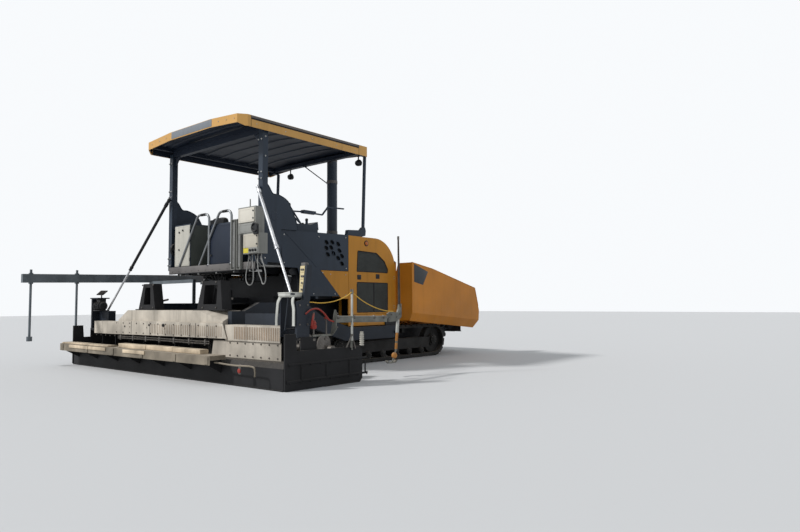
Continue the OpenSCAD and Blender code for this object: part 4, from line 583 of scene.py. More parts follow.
SIDES = (("left", -1), ("right", 1))
window_top = ([2.66, 2.68, 3.17, 3.39, 3.48], [1.985, 1.985, 1.97, 1.83, 1.69])
lamp_y, lamp_z = 2.90, 2.13
latch_knob = [(0.012, 0.003), (0.012, 0.008), (0.009, 0.010)]
lamp_rim = [(0.050, 0.0), (0.052, 0.006), (0.046, 0.010), (0.040, 0.008)]
lens = [(0.038, 0.004), (0.036, 0.012), (0.022, 0.018), (0.006, 0.020)]
for name, s in SIDES:
    body = "engine_door_" + name
    x = s * side_x
    out = (s, 0, 0)
    net = wires(s * 1.2650, 2.66, 3.48, 1.62, window_top, 0.022)
    net += wires(s * 1.2688, 2.66, 3.48, 0.90, ([2.66, 3.48], [1.43, 1.43]), 0.018)
    piece("door_mesh_" + name, net, wire_dark, body)
    screens = [on_side(window, 0.003, 0.001, s * 1.2622, s), on_side(grille, 0.003, 0.001, s * 1.2662, s)]
    piece("door_screens_" + name, screens, screen_grey, body)
    mullion = moulding([(s * 1.2695, 3.085, z) for z in (0.91, 1.17, 1.42)], bar(0.004, 0.03), Y_AXIS)
    beads = [bead(window, x, 0.007), bead(grille, x, 0.006), mullion]
    piece("door_beads_" + name, beads, black_rubber, body)
    latch = []
    for y, z in ((2.715, 1.520), (3.205, 1.545)):
        latch.append(plate(rounded(0.10, 0.085, 0.012, s * y, z), 0.004, 0.002, (x, 0, 0), (0, s, 0),
                           Z_AXIS))
        latch.append(lathe(latch_knob, (x, y + 0.02, z), out, 16))
    latch.append(lathe(lamp_rim, (x, lamp_y, lamp_z), out))
    piece("door_latches_" + name, latch, black_plastic, body)
    piece("door_lamp_" + name, [lathe(lens, (x, lamp_y, lamp_z), out)], amber, body)
    hinge_heads = bolts([(x, 3.665, z) for z in (0.97, 1.01, 1.52, 1.56)], out, 0.008)
    piece("door_bolts_" + name, [hinge_heads], zinc, body)
sill_heads = [(2.02, 1.55), (2.38, 1.55), (2.38, 1.20), (2.56, 0.70), (3.10, 0.83), (3.60, 0.70),
              (2.56, 0.83)]
sill_bolts = [bolts([(s * side_x, y, z) for y, z in sill_heads], (s, 0, 0), 0.008) for s in (-1, 1)]
piece("sill_bolts", sill_bolts, zinc, "tractor")

# Hopper: thick rolled sheet in ochre, rubbed and dusty. Each wing has a flat-bar flange along its rim,
# a bare dark label plate and rows of rivets along its edges.
hopper_paint = weathered("hopper_paint", (0.60, 0.225, 0.022), 0.42, dust=0.12, low=0.12, patch=1.0,
                         spread=0.16, bump=0.06, streak=0.12)
dress(hopper_paint, "hopper_base", "hopper_wing_left", "hopper_wing_right", "hopper_apron")
rim_line = np.array([(3.80, 1.82), (4.4412, 1.72), (5.94, 1.37), (6.09, 0.90)])
label = np.array([(3.86, 1.795), (4.29, 1.655), (4.13, 1.40), (3.86, 1.455)])
label_dark = weathered("label_dark", (0.045, 0.05, 0.055), 0.4, dust=0.1, patch=4)
wing_x = 1.6
stations = np.linspace(0, 3, 31)
for name, s in SIDES:
    body = "hopper_wing_" + name
    x = s * wing_x
    path = np.column_stack([np.full(31, s * 1.594), np.interp(stations, range(4), rim_line[:, 0]),
                            np.interp(stations, range(4), rim_line[:, 1])])
    flange = moulding(path[:29], rounded(0.022, 0.010, 0.004, n=3), (0, 0.3, 1))
    piece("wing_flange_" + name, [flange], hopper_paint, body)
    piece("wing_label_" + name, [on_side(label, 0.002, 0.0008, x, s)], label_dark, body)
    rivets = [(x, 3.835, z) for z in np.arange(0.95, 1.42, 0.085)]
    rivets += [(x, 3.84 + 0.30 * k, 0.955 - 0.027 * k) for k in range(1, 7)]
    piece("wing_bolts_" + name, [bolts(rivets, (s, 0, 0), 0.007)], hopper_paint, body)

# Platform and its cabinets: a dark deck with a studded tread plate and a bolted rear edge. The beige and
# the navy cabinet have folded doors with locks and hinges, and a coiled cord hangs at the left side.
dress(frame_dark, "platform")
dress(blue_paint, "consoles")
beige_paint = weathered("beige_paint", (0.50, 0.48, 0.42), 0.5, spread=0.10, bump=0.05, streak=0.3)
olive_paint = weathered("olive_paint", (0.085, 0.095, 0.085), 0.5, dust=0.2, spread=0.15, streak=0.3)
tread_steel = weathered("tread_steel", (0.11, 0.11, 0.11), 0.55, metal=0.5, dust=0.45, patch=3)
navy_paint = weathered("navy_paint", (0.006, 0.012, 0.026), 0.55, dust=0.05, patch=1.5, streak=0.3)


def bead_y(outline, y, radius):
    """A round bead along a closed outline in a plane of constant y."""
    p, f = bead(outline, 0, radius)
    return p[:, [1, 0, 2]] + (0, y, 0), [q[::-1] for q in f]


def door(cx, cz, w, h, y, depth=0.012):
    """A folded sheet door on a rearward face: a rounded plate with a raised rim, its centre at cx and cz."""
    return [on_rear(rounded(w, h, 0.018, cx, cz), depth, 0.006, y),
            bead_y(rounded(w - 0.05, h - 0.05, 0.012, cx, cz), y - depth, 0.0025)]


deck_top = 1.69
piece("cabinet_door_left", door(-0.86, 2.06, 0.46, 0.70, 0.56), beige_paint, "tractor")
side_skin = on_side(rounded(0.34, 0.70, 0.012, 0.74, 2.06), 0.003, 0.001, -0.62, 1)
piece("cabinet_side", [side_skin], olive_paint, "tractor")
piece("cabinet_door_middle", door(0.27, 2.02, 0.62, 0.64, 0.565), navy_paint, "tractor")
turns = np.linspace(0, 6 * pi, 80)
coil = np.column_stack([-1.155 - 0.008 * turns / pi, 0.60 + 0.075 * np.cos(turns),
                        2.02 + 0.095 * np.sin(turns)])
reel = [(0.02, 0), (0.03, 0.004), (0.03, 0.07), (0.04, 0.074), (0.04, 0.080), (0.01, 0.082)]
piece("cord_reel", [tube(coil, 0.011, 8), lathe(reel, (-1.105, 0.60, 2.02), (-1, 0, 0), 20)], black_plastic,
      "tractor")
lock = [(0.014, 0), (0.016, 0.004), (0.016, 0.012), (0.010, 0.014)]
lock_places = [(-0.95, 2.30), (-0.95, 2.00), (-0.84, 2.33), (0.02, 2.25), (0.02, 1.85)]
hinge_places = [(-0.628, 2.3), (-0.628, 1.82), (0.582, 2.25), (0.582, 1.8)]
locks = [lathe(lock, (x, 0.548, z), REAR, 18) for x, z in lock_places]
locks += [tube([(x, 0.552, z - 0.03), (x, 0.552, z + 0.03)], 0.007) for x, z in hinge_places]
piece("cabinet_locks", locks, black_plastic, "tractor")
tread = on_top(rounded(2.36, 1.50, 0.02, 0, 1.35), 0.004, 0.001, deck_top)
stud_x, stud_y = np.meshgrid(np.arange(-1.12, 1.13, 0.07), np.arange(0.64, 0.98, 0.07))
studs = np.column_stack([stud_x.ravel(), stud_y.ravel(), np.full(stud_x.size, 1.694)])
piece("deck_tread", [tread, bolts(studs, Z_AXIS, 0.006)], tread_steel, "tractor")
edge = moulding([(x, 0.518, 1.645) for x in np.linspace(-1.21, 1.21, 5)],
                rounded(0.006, 0.11, 0.002, n=3), Z_AXIS)
edge_bolts = bolts([(x, 0.515, 1.62) for x in np.arange(-1.1, 1.15, 0.2)], REAR, 0.008)
piece("deck_edge", [edge, edge_bolts], trim_grey, "tractor")

# Under the deck: black rubber hoses lie side by side along the underside, held in zinc clamps, and run
# down the auger case's column to hexagon fittings; a black valve block with turned ports hangs beside them.
def bent(points, steps, radius, sides=10):
    """A bent rod or hose: a round line along the smooth curve through the points."""
    return tube(smooth_line(points, steps), radius, sides)


column_y = 0.724
under = []
for k, z in enumerate((1.574, 1.578, 1.571, 1.577, 1.573)):
    y = 0.60 + 0.042 * k
    under.append(bent([(-1.05 + 0.06 * k, y, z), (-0.45, y + 0.012, z - 0.006), (0.15, y - 0.008, z),
                       (0.70, y + 0.01, z - 0.005), (1.10 - 0.05 * k, y, z)], 8, 0.015))
for k in range(4):
    x = -0.045 + 0.03 * k
    under.append(bent([(x * 4, 0.66, 1.560), (x * 3, 0.675, 1.50), (x * 1.4, 0.716, 1.36),
                       (x, column_y, 1.20), (x, column_y, 0.85), (x, column_y, 0.50)], 8, 0.013))
piece("deck_hoses", under, black_rubber, "tractor")
fitting = [(0.012, 0), (0.020, 0.002), (0.020, 0.030), (0.016, 0.034), (0.016, 0.06), (0.012, 0.062)]
holders = [plate(rounded(0.035, 0.225, 0.006, x, -0.684), 0.034, 0.004, (0, 0, 1.589), X_AXIS, REAR)
           for x in (-0.95, -0.40, 0.12, 0.60, 1.0)]
holders += [on_rear(rounded(0.15, 0.035, 0.006, 0, z), 0.030, 0.004, 0.740) for z in (1.18, 0.86, 0.56)]
holders += [lathe(fitting, (x, column_y, 0.47), Z_AXIS, 6) for x in (-0.045, -0.015, 0.015, 0.045)]
piece("hose_holders", holders, zinc, "tractor")
port = [(0.030, 0), (0.034, 0.004), (0.034, 0.05), (0.022, 0.056), (0.022, 0.10), (0.010, 0.104)]
valve = [plate(rounded(0.36, 0.14, 0.02, 0.66, -0.90), 0.15, 0.012, (0, 0, 1.56), X_AXIS, REAR)]
valve += [lathe(port, (x, 0.832, z), REAR, 16) for x in (0.54, 0.62, 0.70, 0.78) for z in (1.45, 1.52)]
piece("valve_block", valve, black_plastic, "tractor")

# Switch boxes on the right post: pale sheet steel, the upper one with a white door over a grey lower
# half, the lower one with a bare yellow label. Knobs, a black ring, cable glands and leads are fitted.
box_grey = weathered("box_grey", (0.27, 0.27, 0.25), 0.5, spread=0.1, streak=0.35)
box_white = weathered("box_white", (0.66, 0.62, 0.54), 0.45, dust=0.2, spread=0.07, streak=0.25)
box_beige = weathered("box_beige", (0.50, 0.46, 0.38), 0.5, spread=0.1, streak=0.35)
dress(box_grey, "control_boxes")
label_yellow = weathered("label_yellow", (0.62, 0.52, 0.06), 0.5, dust=0.2, patch=6, spread=0.1)
box_y = 0.40
piece("box_door_upper", door(1.158, 2.385, 0.385, 0.215, box_y, 0.016), box_white, "tractor")
piece("box_door_grey", door(1.158, 2.19, 0.385, 0.145, box_y, 0.010), box_grey, "tractor")
piece("box_door_lower", door(1.263, 1.995, 0.345, 0.205, box_y, 0.014), box_beige, "tractor")
bare_label = on_rear(rounded(0.12, 0.09, 0.008, 1.145, 1.862), 0.003, 0.001, 0.398)
piece("box_label_bare", [bare_label], label_yellow, "tractor")
strip = on_rear(rounded(0.22, 0.085, 0.010, 1.325, 1.855), 0.012, 0.004, box_y)
piece("box_strip", [strip], box_grey, "tractor")
knob = [(0.012, 0), (0.020, 0.002), (0.020, 0.016), (0.015, 0.020)]
latch_head = [(0.010, 0), (0.012, 0.003), (0.012, 0.010), (0.008, 0.012)]
knobs = [lathe(knob, (x, 0.39, 1.855), REAR, 20) for x in (1.26, 1.325, 1.39)]
knobs += [lathe(latch_head, (x, 0.386, z), REAR, 16)
          for x, z in ((1.33, 2.44), (1.33, 2.33), (1.42, 2.06), (1.42, 1.94))]
ring = np.linspace(0.15, 2 * pi - 0.6, 26)
knobs.append(tube(np.column_stack([1.385 + 0.062 * np.cos(ring), np.full(26, 0.368),
                                   2.185 + 0.062 * np.sin(ring)]), 0.014))
knobs.append(on_rear(rounded(0.10, 0.16, 0.02, 1.395, 2.16), 0.03, 0.01, box_y))
piece("box_knobs", knobs, black_plastic, "tractor")
gland = [(0.011, 0.020), (0.017, 0.022), (0.017, 0.034), (0.013, 0.036), (0.013, 0.05), (0.009, 0.052)]
gland_places = ((1.15, 0.47), (1.245, 0.50), (1.285, 0.47), (1.365, 0.50))
glands = [lathe(gland, (x, y, 1.824), (0, 0, -1), 8) for x, y in gland_places]
piece("box_glands", glands, black_plastic, "tractor")
leads = []
for k, (x, y) in enumerate(gland_places):
    under_x = x - 0.02 + 0.01 * k
    leads.append(bent([(x, y, 1.775), (x, y + 0.004, 1.73), (x - 0.01, 0.525, 1.685),
                       (under_x, 0.545, 1.665), (under_x, 0.60, 1.634), (under_x, 0.95, 1.634)],
                      6, 0.007, 8))
piece("box_leads", leads, cable_sheath, "tractor")
in_channel = [bent([(x + d, 0.497, 2.33), (x + d + 0.004, 0.496, 2.1), (x + d - 0.004, 0.498, 1.9),
                    (x + d, 0.497, 1.63)], 6, 0.008, 8) for x in (0.71, 0.85) for d in (-0.022, 0.0, 0.022)]
piece("channel_cables", in_channel, cable_sheath, "tractor")

# Leaning grab rails of bent tube, with welded foot flanges and a black grip on each top;
# they stand on the deck's rear edge.
rail_steel = weathered("rail_steel", (0.23, 0.24, 0.25), 0.35, metal=0.6, dust=0.2, patch=6, grain=200)
dress(rail_steel, "handrails")
rails_x, rails_y = (-0.04, 0.575), 0.54
foot = [(0.019, 0), (0.042, 0.001), (0.042, 0.006), (0.026, 0.009), (0.019, 0.022)]
grip = [(0.019, 0), (0.023, 0.003), (0.023, 0.130), (0.019, 0.133)]
feet = [lathe(foot, (x, rails_y, deck_top), Z_AXIS, 24) for x in rails_x]
feet.append(bolts([(x + dx, rails_y, 1.697) for x in rails_x for dx in (-0.032, 0.032)], Z_AXIS, 0.006))
piece("rail_feet", feet, rail_steel, "tractor")
grips = [lathe(grip, (x - 0.10, rails_y, 2.54), (-1, 0, 0), 18) for x in rails_x]
piece("rail_grips", grips, black_rubber, "tractor")

# Seats: crowned foam cushions in black vinyl, each sitting pad with a welted seam, and two arm rests a
# seat. The cushions stand for the CAD pads, which are hidden, and sit on the black pans and backs.
def pad_outline(w, d, t):
    """A rectangle w by d with full round corners, a super-ellipse, at the angles t."""
    c, s = np.cos(t), np.sin(t)
    return np.stack([np.sign(c) * np.abs(c) ** 0.38 * w / 2, np.sign(s) * np.abs(s) ** 0.38 * d / 2], 1)


def cushion(w, d, h, at, u, v):
    """A closed pad h high: rings of its outline in u and v shrink towards the bottom and the top, and dents
    follow two seams on the top."""
    outline = pad_outline(w, d, np.linspace(0, 2 * pi, 48, endpoint=False))
    level = np.array([0, 0.02, 0.10, 0.35, 0.6, 0.80, 0.92, 0.97, 1.0, 1.0, 1.0, 1.0])[:, None]
    shrink = np.array([0.90, 0.96, 0.99, 1.0, 0.995, 0.98, 0.94, 0.86, 0.72, 0.5, 0.25, 0.04])[:, None]
    across = shrink * outline[None, :, 0] / (w / 2)
    rise = level * h - 0.006 * np.exp(-(across ** 2 - 0.30) ** 2 / 0.006) * (level > 0.9)
    ring = shrink[..., None] * outline[None]
    u, v = np.array(u, float), np.array(v, float)
    return loft(np.array(at) + ring[..., :1] * u + ring[..., 1:] * v + rise[..., None] * np.cross(u, v))


dress(black_plastic, "seats")
seat_vinyl = weathered("seat_vinyl", (0.018, 0.018, 0.020), 0.42, patch=5, grain=350, bump=0.4)
seats_x, pad_y = (-0.62, 0.62), 1.365
pads, welts = [], []
for x in seats_x:
    pads.append(cushion(0.455, 0.465, 0.108, (x, pad_y, 2.0305), X_AXIS, Y_AXIS))
    pads.append(cushion(0.425, 0.425, 0.088, (x, 1.1005, 2.375), (-1, 0, 0), Z_AXIS))
    welt = pad_outline(0.448, 0.458, np.linspace(0, 2 * pi, 60)) + (x, pad_y)
    welts.append(tube(np.column_stack([welt, np.full(60, 2.112)]), 0.004, 6))
pad = piece("seat_pads", pads, seat_vinyl, "tractor", 60)
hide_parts("seat_cushions")
piece("seat_welts", welts, seat_vinyl, "tractor")
arms = [bent([(x + s * 0.25, 1.08, 2.16), (x + s * 0.255, 1.10, 2.235), (x + s * 0.255, 1.16, 2.26),
              (x + s * 0.255, 1.40, 2.26)], 6, 0.022, 12) for x in seats_x for s in (-1, 1)]
piece("seat_arms", arms, black_plastic, "tractor")

# Consoles: two small three-spoked wheels on slanting columns, a row of round switches, and lever knobs
# with boots at their feet; black moulded plastic screwed to dark blue sheet.
t = np.linspace(0, 2 * pi, 41)
tilt = radians(62)
wheel_u, wheel_v = np.array(X_AXIS), np.array((0, sin(tilt) * 0.6, cos(tilt) * 1.2))
desk = []
for x in (-0.40, 0.40):
    centre = np.array((x, 1.80, 2.40))
    rim = centre + 0.17 * (np.cos(t)[:, None] * wheel_u + np.sin(t)[:, None] * wheel_v)
    desk.append(tube(rim, 0.012))
    desk += [tube([centre, centre + 0.16 * (cos(a) * wheel_u + sin(a) * wheel_v)], 0.008, 8)
             for a in (0.5, 2.6, 4.7)]
    desk.append(tube([centre, centre + (0, 0.10, -0.12)], 0.02, 12))
switch = [(0.020, 0), (0.026, 0.003), (0.026, 0.010), (0.021, 0.012)]
knob = [(0.014, -0.01), (0.022, 0.0), (0.026, 0.018), (0.024, 0.036), (0.012, 0.046)]
boot = [(0.018, 0), (0.030, 0.006), (0.026, 0.02), (0.017, 0.035)]
desk += [lathe(switch, (x, 1.90, 2.40), (0, -0.48, 0.88), 18) for x in np.arange(-0.78, 0.80, 0.12)]
desk += [lathe(knob, (0.900, 1.437, 2.682), (0, -0.28, 0.96), 18),
         lathe(knob, (0.940, 1.345, 2.596), (0, -0.38, 0.92), 18),
         lathe(knob, (0.90, 1.815, 2.46), Z_AXIS, 18)]
desk += [lathe(boot, (x, y, 2.380), Z_AXIS, 18) for x, y in ((0.90, 1.716), (0.94, 1.69))]
piece("desk_controls", desk, black_plastic, "tractor")

# Walkways over the screed: pale trodden sheet with hand holes in painted shade, welded seams, hexagon bolts
# and ribs on the risers; all welded to the screed's deck.
pale_plate = weathered("pale_plate", (0.49, 0.44, 0.37), 0.75, dust=0.4, patch=2.2, spread=0.36, grain=70,
                       bump=0.35, streak=0.5)
dress(pale_plate, "walkways")
tread_bolts = [(x, -0.152, z) for x in np.arange(-1.70, 1.45, 0.225) for z in (0.60, 0.755)]
worn_steel = weathered("worn_steel", (0.13, 0.12, 0.11), 0.45, metal=0.8, patch=6, grain=140, bump=0.3)
piece("walkway_bolts", [bolts(tread_bolts, REAR, 0.009)], worn_steel, "screed")
# The ribs are coloured darker than the sheet between them, so the risers show dark upright lines.
rib_dark = weathered("rib_dark", (0.31, 0.22, 0.15), 0.75, patch=2.6, spread=0.4, bump=0.3)
rib_rows = [(0.006, 0.15, -0.150, 0.679, -0.56, 1.38, 0.050),
            (0.014, 0.17, -0.130, 0.668, 1.63, 2.57, 0.036)]
ribs = [on_rear(rounded(w, h, w / 3, x, z, 3), 0.004, 0.0012, y)
        for w, h, y, z, first, last, pitch in rib_rows for x in np.arange(first, last, pitch)]
piece("walkway_ribs", ribs, rib_dark, "screed")
seams = [tube([(x, -0.1515, 0.575), (x, -0.1515, 0.785)], 0.004, 8) for x in (-1.2, -0.60, 0.56, 0.70)]
piece("walkway_seams", seams, worn_steel, "screed")
# Hand holes: black discs on the riser face, their black painted shade for the dark insides of the holes.
circle = np.linspace(0, 2 * pi, 28, endpoint=False)
hole_places = [(-0.192, 0.738, -0.1520, 0.040, 0.026), (-0.629, 0.735, -0.1505, 0.020, 0.016),
               (-1.42, 0.70, -0.1505, 0.018, 0.016)]
holes = [on_rear(np.column_stack([x + w * np.cos(circle), z + h * np.sin(circle)]), 0.004, 0.001, y)
         for x, z, y, w, h in hole_places]
piece("hand_holes", holes, black_mesh_and_hole_shade, "screed")

# Screed box and its ends: near-black steel with a dull crust. Two heater hoses run in clamps along the
# rear face, bolts hold the covers, and welded ribs and bolts stiffen the end gates.
screed_dark = weathered("screed_dark", (0.011, 0.011, 0.012), 0.7, dust=0.2, patch=2.4, spread=0.5,
                        grain=80, bump=0.5)
dress(screed_dark, "screed_frame", "screed_ribs", "trestles", "end_gate_left", "end_gate_right",
      "sole_plates")
hoses = [bent([(-1.7, -0.122, z), (-0.6, -0.124, z + 0.004), (0.5, -0.122, z - 0.003), (1.02, -0.122, z)],
              8, 0.011) for z in (0.495, 0.525)]
piece("heater_hoses", hoses, black_rubber, "screed")
clamps = [on_rear(rounded(0.035, 0.085, 0.006, x, 0.51), 0.026, 0.004, -0.112)
          for x in np.arange(-1.6, 1.0, 0.42)]
piece("hose_clamps", clamps, worn_steel, "screed")
end_bolts = [(s * x, -0.1115, z) for s in (-1, 1) for x in np.arange(1.50, 2.55, 0.17)
             for z in (0.36, 0.53)]
piece("cover_bolts", [bolts(end_bolts, REAR, 0.010)], worn_steel, "screed")
gate_x = 2.954
for name, s in SIDES:
    strip = [moulding([(s * gate_x, y, z) for y in np.linspace(y0, y1, 4)], bar(0.009, 0.030), Z_AXIS)
             for y0, y1, z in ((-0.33, 1.10, 0.10), (-0.30, 1.08, 0.305))]
    strip += [moulding([(s * gate_x, y, z) for z in np.linspace(0.12, 0.285, 3)], bar(0.009, 0.026), Y_AXIS)
              for y in (-0.10, 0.32, 0.74, 1.04)]
    gate_bolts = [(s * 2.958, y, z) for y in np.arange(-0.28, 1.10, 0.17) for z in (0.10, 0.305)]
    strip.append(bolts(gate_bolts, (s, 0, 0), 0.009))
    piece("gate_ribs_" + name, strip, screed_dark, "end_gate_" + name)

# Trestles of the crown adjuster: black flat bar bolted through, with an upright and a slanting spindle
# and a chain wheel between the legs; a black gusset plate closes the right one.
chain_wheel = [(0.02, 0), (0.075, 0.004), (0.085, 0.012), (0.075, 0.020), (0.02, 0.024)]
spindles, caps = [], []
for mid in (-0.885, 0.875):
    spindles.append(tube([(mid - 0.02, 0.145, 1.10), (mid + 0.30, 0.145, 1.14)], 0.016, 12))
    spindles.append(lathe(chain_wheel, (mid, 0.125, 1.18), Y_AXIS, 26))
    spindles.append(tube([(mid, 0.136, 0.99), (mid, 0.136, 1.36)], 0.018, 14))
    caps.append(bolts([(mid + dx, -0.04, z) for dx in (-0.17, 0.17) for z in (1.01, 1.38)], REAR, 0.012))
gusset_plate = on_rear([(0.70, 1.0), (1.06, 1.0), (0.98, 1.24), (0.80, 1.30)], 0.012, 0.003, 0.118)
piece("trestle_gusset", [gusset_plate], black_mesh_and_hole_shade, "screed")
piece("crown_spindles", spindles, worn_steel, "screed")
piece("trestle_bolts", caps, worn_steel, "screed")

# Foot deck: a dusty steel shelf behind the sole plates with wooden planks laid on it. Its rear edge has
# end stops and a bent rod, and a lug at the right carries a small red marker.
deck_steel = weathered("deck_steel", (0.20, 0.17, 0.13), 0.75, dust=0.8, patch=3, spread=0.45, grain=90,
                       bump=0.5)
dress(deck_steel, "rear_boards")
board_wood = weathered("board_wood", (0.52, 0.42, 0.30), 0.85, dust=0.3, patch=3, spread=0.45, grain=90,
                       bump=0.6, streak=0.3)
planks = []
for x0, x1, y, z in ((-0.862, -0.02, -0.463, 0.001), (-0.01, 0.72, -0.459, 0.002),
                     (0.73, 1.412, -0.461, 0.0)):
    x = np.linspace(x0, x1, 18)
    line = np.column_stack([x, y + 0.003 * np.sin(5 * x), 0.4225 + z + 0.0012 * np.cos(7 * x)])
    planks.append(moulding(line, rounded(0.130, 0.064, 0.008, n=4), Z_AXIS))
for x0, x1, y in ((-2.80, -1.96, -0.50), (-1.94, -1.10, -0.505)):
    x = np.linspace(x0, x1, 18)
    line = np.column_stack([x, y + 0.003 * np.sin(5 * x), np.full(18, 0.4025)])
    planks.append(moulding(line, rounded(0.16, 0.024, 0.006, n=4), Z_AXIS))
for x0, x1 in ((-2.46, -1.74), (-1.72, -1.12), (-0.55, 0.10)):
    planks.append(moulding([(x, -0.607, 0.356) for x in np.linspace(x0, x1, 5)],
                           rounded(0.013, 0.052, 0.004, n=3), Z_AXIS))
piece("planks", planks, board_wood, "screed")
stops = [on_rear(rounded(0.09, 0.10, 0.01, x, 0.33), 0.012, 0.003, -0.600)
         for x in (-2.75, -1.8, -0.9, 0.0, 0.9, 1.68)]
stops.append(bent([(1.70, -0.49, 0.30), (2.10, -0.49, 0.285), (2.50, -0.495, 0.29), (2.56, -0.495, 0.24),
                   (2.56, -0.495, 0.17)], 6, 0.011))
piece("deck_stops", stops, deck_steel, "screed")
signal_red = weathered("signal_red", (0.30, 0.036, 0.026), 0.5, dust=0.5, patch=5)
marker_x = 2.254
marker = lathe([(0.010, 0.0), (0.030, 0.004), (0.030, 0.012), (0.018, 0.018)], (marker_x, -0.497, 0.225),
               REAR, 22)
piece("deck_marker", [marker], signal_red, "screed")
marker_lug = on_rear(rounded(0.05, 0.13, 0.012, marker_x, 0.245), 0.006, 0.002, -0.492)
piece("marker_lug", [marker_lug], worn_steel, "screed")

# Right end: the upright with its pale tray on bent flat bar, a cream control panel with a yellow side and
# a grey cap, and the height spindles with red cranks, a red cup and a hub; bolted to the end plate.
post_paint = weathered("post_paint", (0.016, 0.021, 0.030), 0.5, patch=1.6, spread=0.4, streak=0.4)
dress(post_paint, "screed_posts")
tray_pale = weathered("tray_pale", (0.50, 0.50, 0.46), 0.55, dust=0.3, patch=3, spread=0.3, bump=0.2,
                      streak=0.4)
rim, rim_z = rounded(0.300, 0.310, 0.07, 2.702, -0.018), 1.196
tray = [plate(rim[:, ::-1], 0.056, 0.030, (0, 0, rim_z), Y_AXIS, X_AXIS)]
tray.append(tube(np.column_stack([np.vstack([rim, rim[:1]]), np.full(len(rim) + 1, rim_z)]), 0.007, 8))
for x, out in ((2.595, -0.075), (2.842, 0.006)):
    leg = smooth_line([(x, -0.138, 1.150), (x - 0.012 + 0.4 * out, -0.142, 1.08),
                       (x + 0.8 * out, -0.138, 1.00), (x + out, -0.138, 0.88), (x + out, -0.138, 0.782)], 6)
    tray.append(moulding(leg, bar(0.046, 0.012), Y_AXIS))
piece("tray_and_legs", tray, tray_pale, "screed")
cream = weathered("cream_enamel", (0.62, 0.52, 0.30), 0.4, patch=4, spread=0.15, streak=0.4)
panel = [on_rear([(2.722, 1.194), (2.836, 1.194), (2.846, 1.543), (2.748, 1.543)], 0.070, 0.008, 0.131)]
panel += [on_rear(rounded(0.084, 0.078, 0.006, 2.784 + 0.05 * (z - 1.24), z), 0.005, 0.002, 0.061)
          for z in (1.24, 1.325, 1.41, 1.495)]
piece("control_panel", panel, cream, "screed")
panel_side = on_side(rounded(0.056, 0.335, 0.008, 0.097, 1.368), 0.004, 0.002, 2.843, 1)
piece("panel_side", [panel_side], yellow_paint, "screed")
button = [(0.010, 0), (0.013, 0.002), (0.013, 0.010), (0.008, 0.014)]
button_places = [(2.785, 1.495), (2.815, 1.495), (2.785, 1.41), (2.815, 1.41), (2.79, 1.325), (2.785, 1.24)]
cap_parts = [on_top(rounded(0.088, 0.060, 0.012, 2.797, 0.097), 0.040, 0.008, 1.5435)]
cap_parts += [lathe(button, (x, 0.056, z), REAR, 14) for x, z in button_places]
piece("panel_cap", cap_parts, trim_grey, "screed")
spindle_x = 2.894
cup = [(0.012, 0), (0.034, 0.004), (0.042, 0.030), (0.036, 0.055), (0.030, 0.060), (0.036, 0.075),
       (0.020, 0.110), (0.012, 0.112)]
hub = [(0.012, 0), (0.028, 0.004), (0.030, 0.022), (0.012, 0.028)]
cranks = [bent([(2.895, 0.02, 0.93), (2.915, 0.10, 0.985), (2.93, 0.20, 0.992), (2.935, 0.30, 0.935),
                (2.94, 0.385, 0.85), (2.945, 0.463, 0.825)], 7, 0.011),
          bent([(spindle_x, 0.16, 0.93), (2.93, 0.12, 0.90), (2.945, 0.09, 0.84), (2.935, 0.09, 0.78)], 6,
               0.013),
          lathe(cup, (spindle_x, 0.16, 0.735), Z_AXIS, 24), lathe(hub, (2.893, 0.38, 0.86), Z_AXIS, 22)]
piece("height_cranks", cranks, signal_red, "screed")
nut = [(0.012, 0), (0.024, 0.002), (0.024, 0.03), (0.012, 0.034)]
spindle = [tube([(spindle_x, y, 0.585), (spindle_x, y, top)], 0.011, 12)
           for y, top in ((0.16, 0.95), (0.38, 0.90))]
spindle += [lathe(nut, (spindle_x, y, 0.586), Z_AXIS, 6) for y in (0.16, 0.38)]
spindle.append(bolts([(2.889, y, z) for y in (-0.07, 0.06) for z in (0.62, 0.80, 1.04)], X_AXIS))
piece("height_spindles", spindle, worn_steel, "screed")

# Left end: a black drive motor with cooling fins on two short feet, its terminal box, and a tilted bare
# plate on a stalk over the tray; bolted to the left upright.
fins = [(0.030, 0)]
for k in range(9):
    a = 0.024 * k
    fins += [(0.088, 0.020 + a), (0.088, 0.030 + a), (0.074, 0.031 + a), (0.074, 0.043 + a)]
fins += [(0.080, 0.245), (0.060, 0.262), (0.020, 0.265)]
motor = [lathe(fins, (-2.78, -0.005, 1.04), X_AXIS, 30),
         on_top(rounded(0.13, 0.10, 0.012, -2.64), 0.05, 0.012, 1.115),
         on_top(rounded(0.26, 0.16, 0.012, -2.65), 0.014, 0.004, 0.951)]
motor += [tube([(x, -0.005, 0.958), (x, -0.005, 1.0)], 0.03, 14) for x in (-2.72, -2.58)]
piece("end_motor", motor, black_plastic, "screed")
tilt_plate = plate(rounded(0.20, 0.13, 0.012), 0.012, 0.004, (-2.60, 0.0, 1.275), (0.93, 0, 0.36), Y_AXIS)
stalk = tube([(-2.62, 0.0, 1.19), (-2.62, 0.0, 1.272)], 0.012, 12)
piece("end_plate_tilted", [tilt_plate, stalk], trim_grey, "screed")

# Sensor rig: dusty grey arms, a dark pole, an orange link and roller at the ski, two feet on the rope's
# rod and the rubber boot of the end gate's spring; clamped with hexagon bolts.
rig_steel = weathered("rig_steel", (0.17, 0.17, 0.15), 0.6, metal=0.2, dust=0.45, patch=6, spread=0.35,
                      grain=120, bump=0.3, streak=0.3)
dress(rig_steel, "sensor_rig")
pole_brown = weathered("pole_brown", (0.045, 0.034, 0.028), 0.6, dust=0.2, patch=8, spread=0.4, bump=0.2)
pole_x = 2.97
rod_y = 0.78


def on_link(t):
    """A point of the slanting link below the pole, t of the way down."""
    return pole_x, 1.7625 - 0.075 * t, 1.018 - 0.67 * t


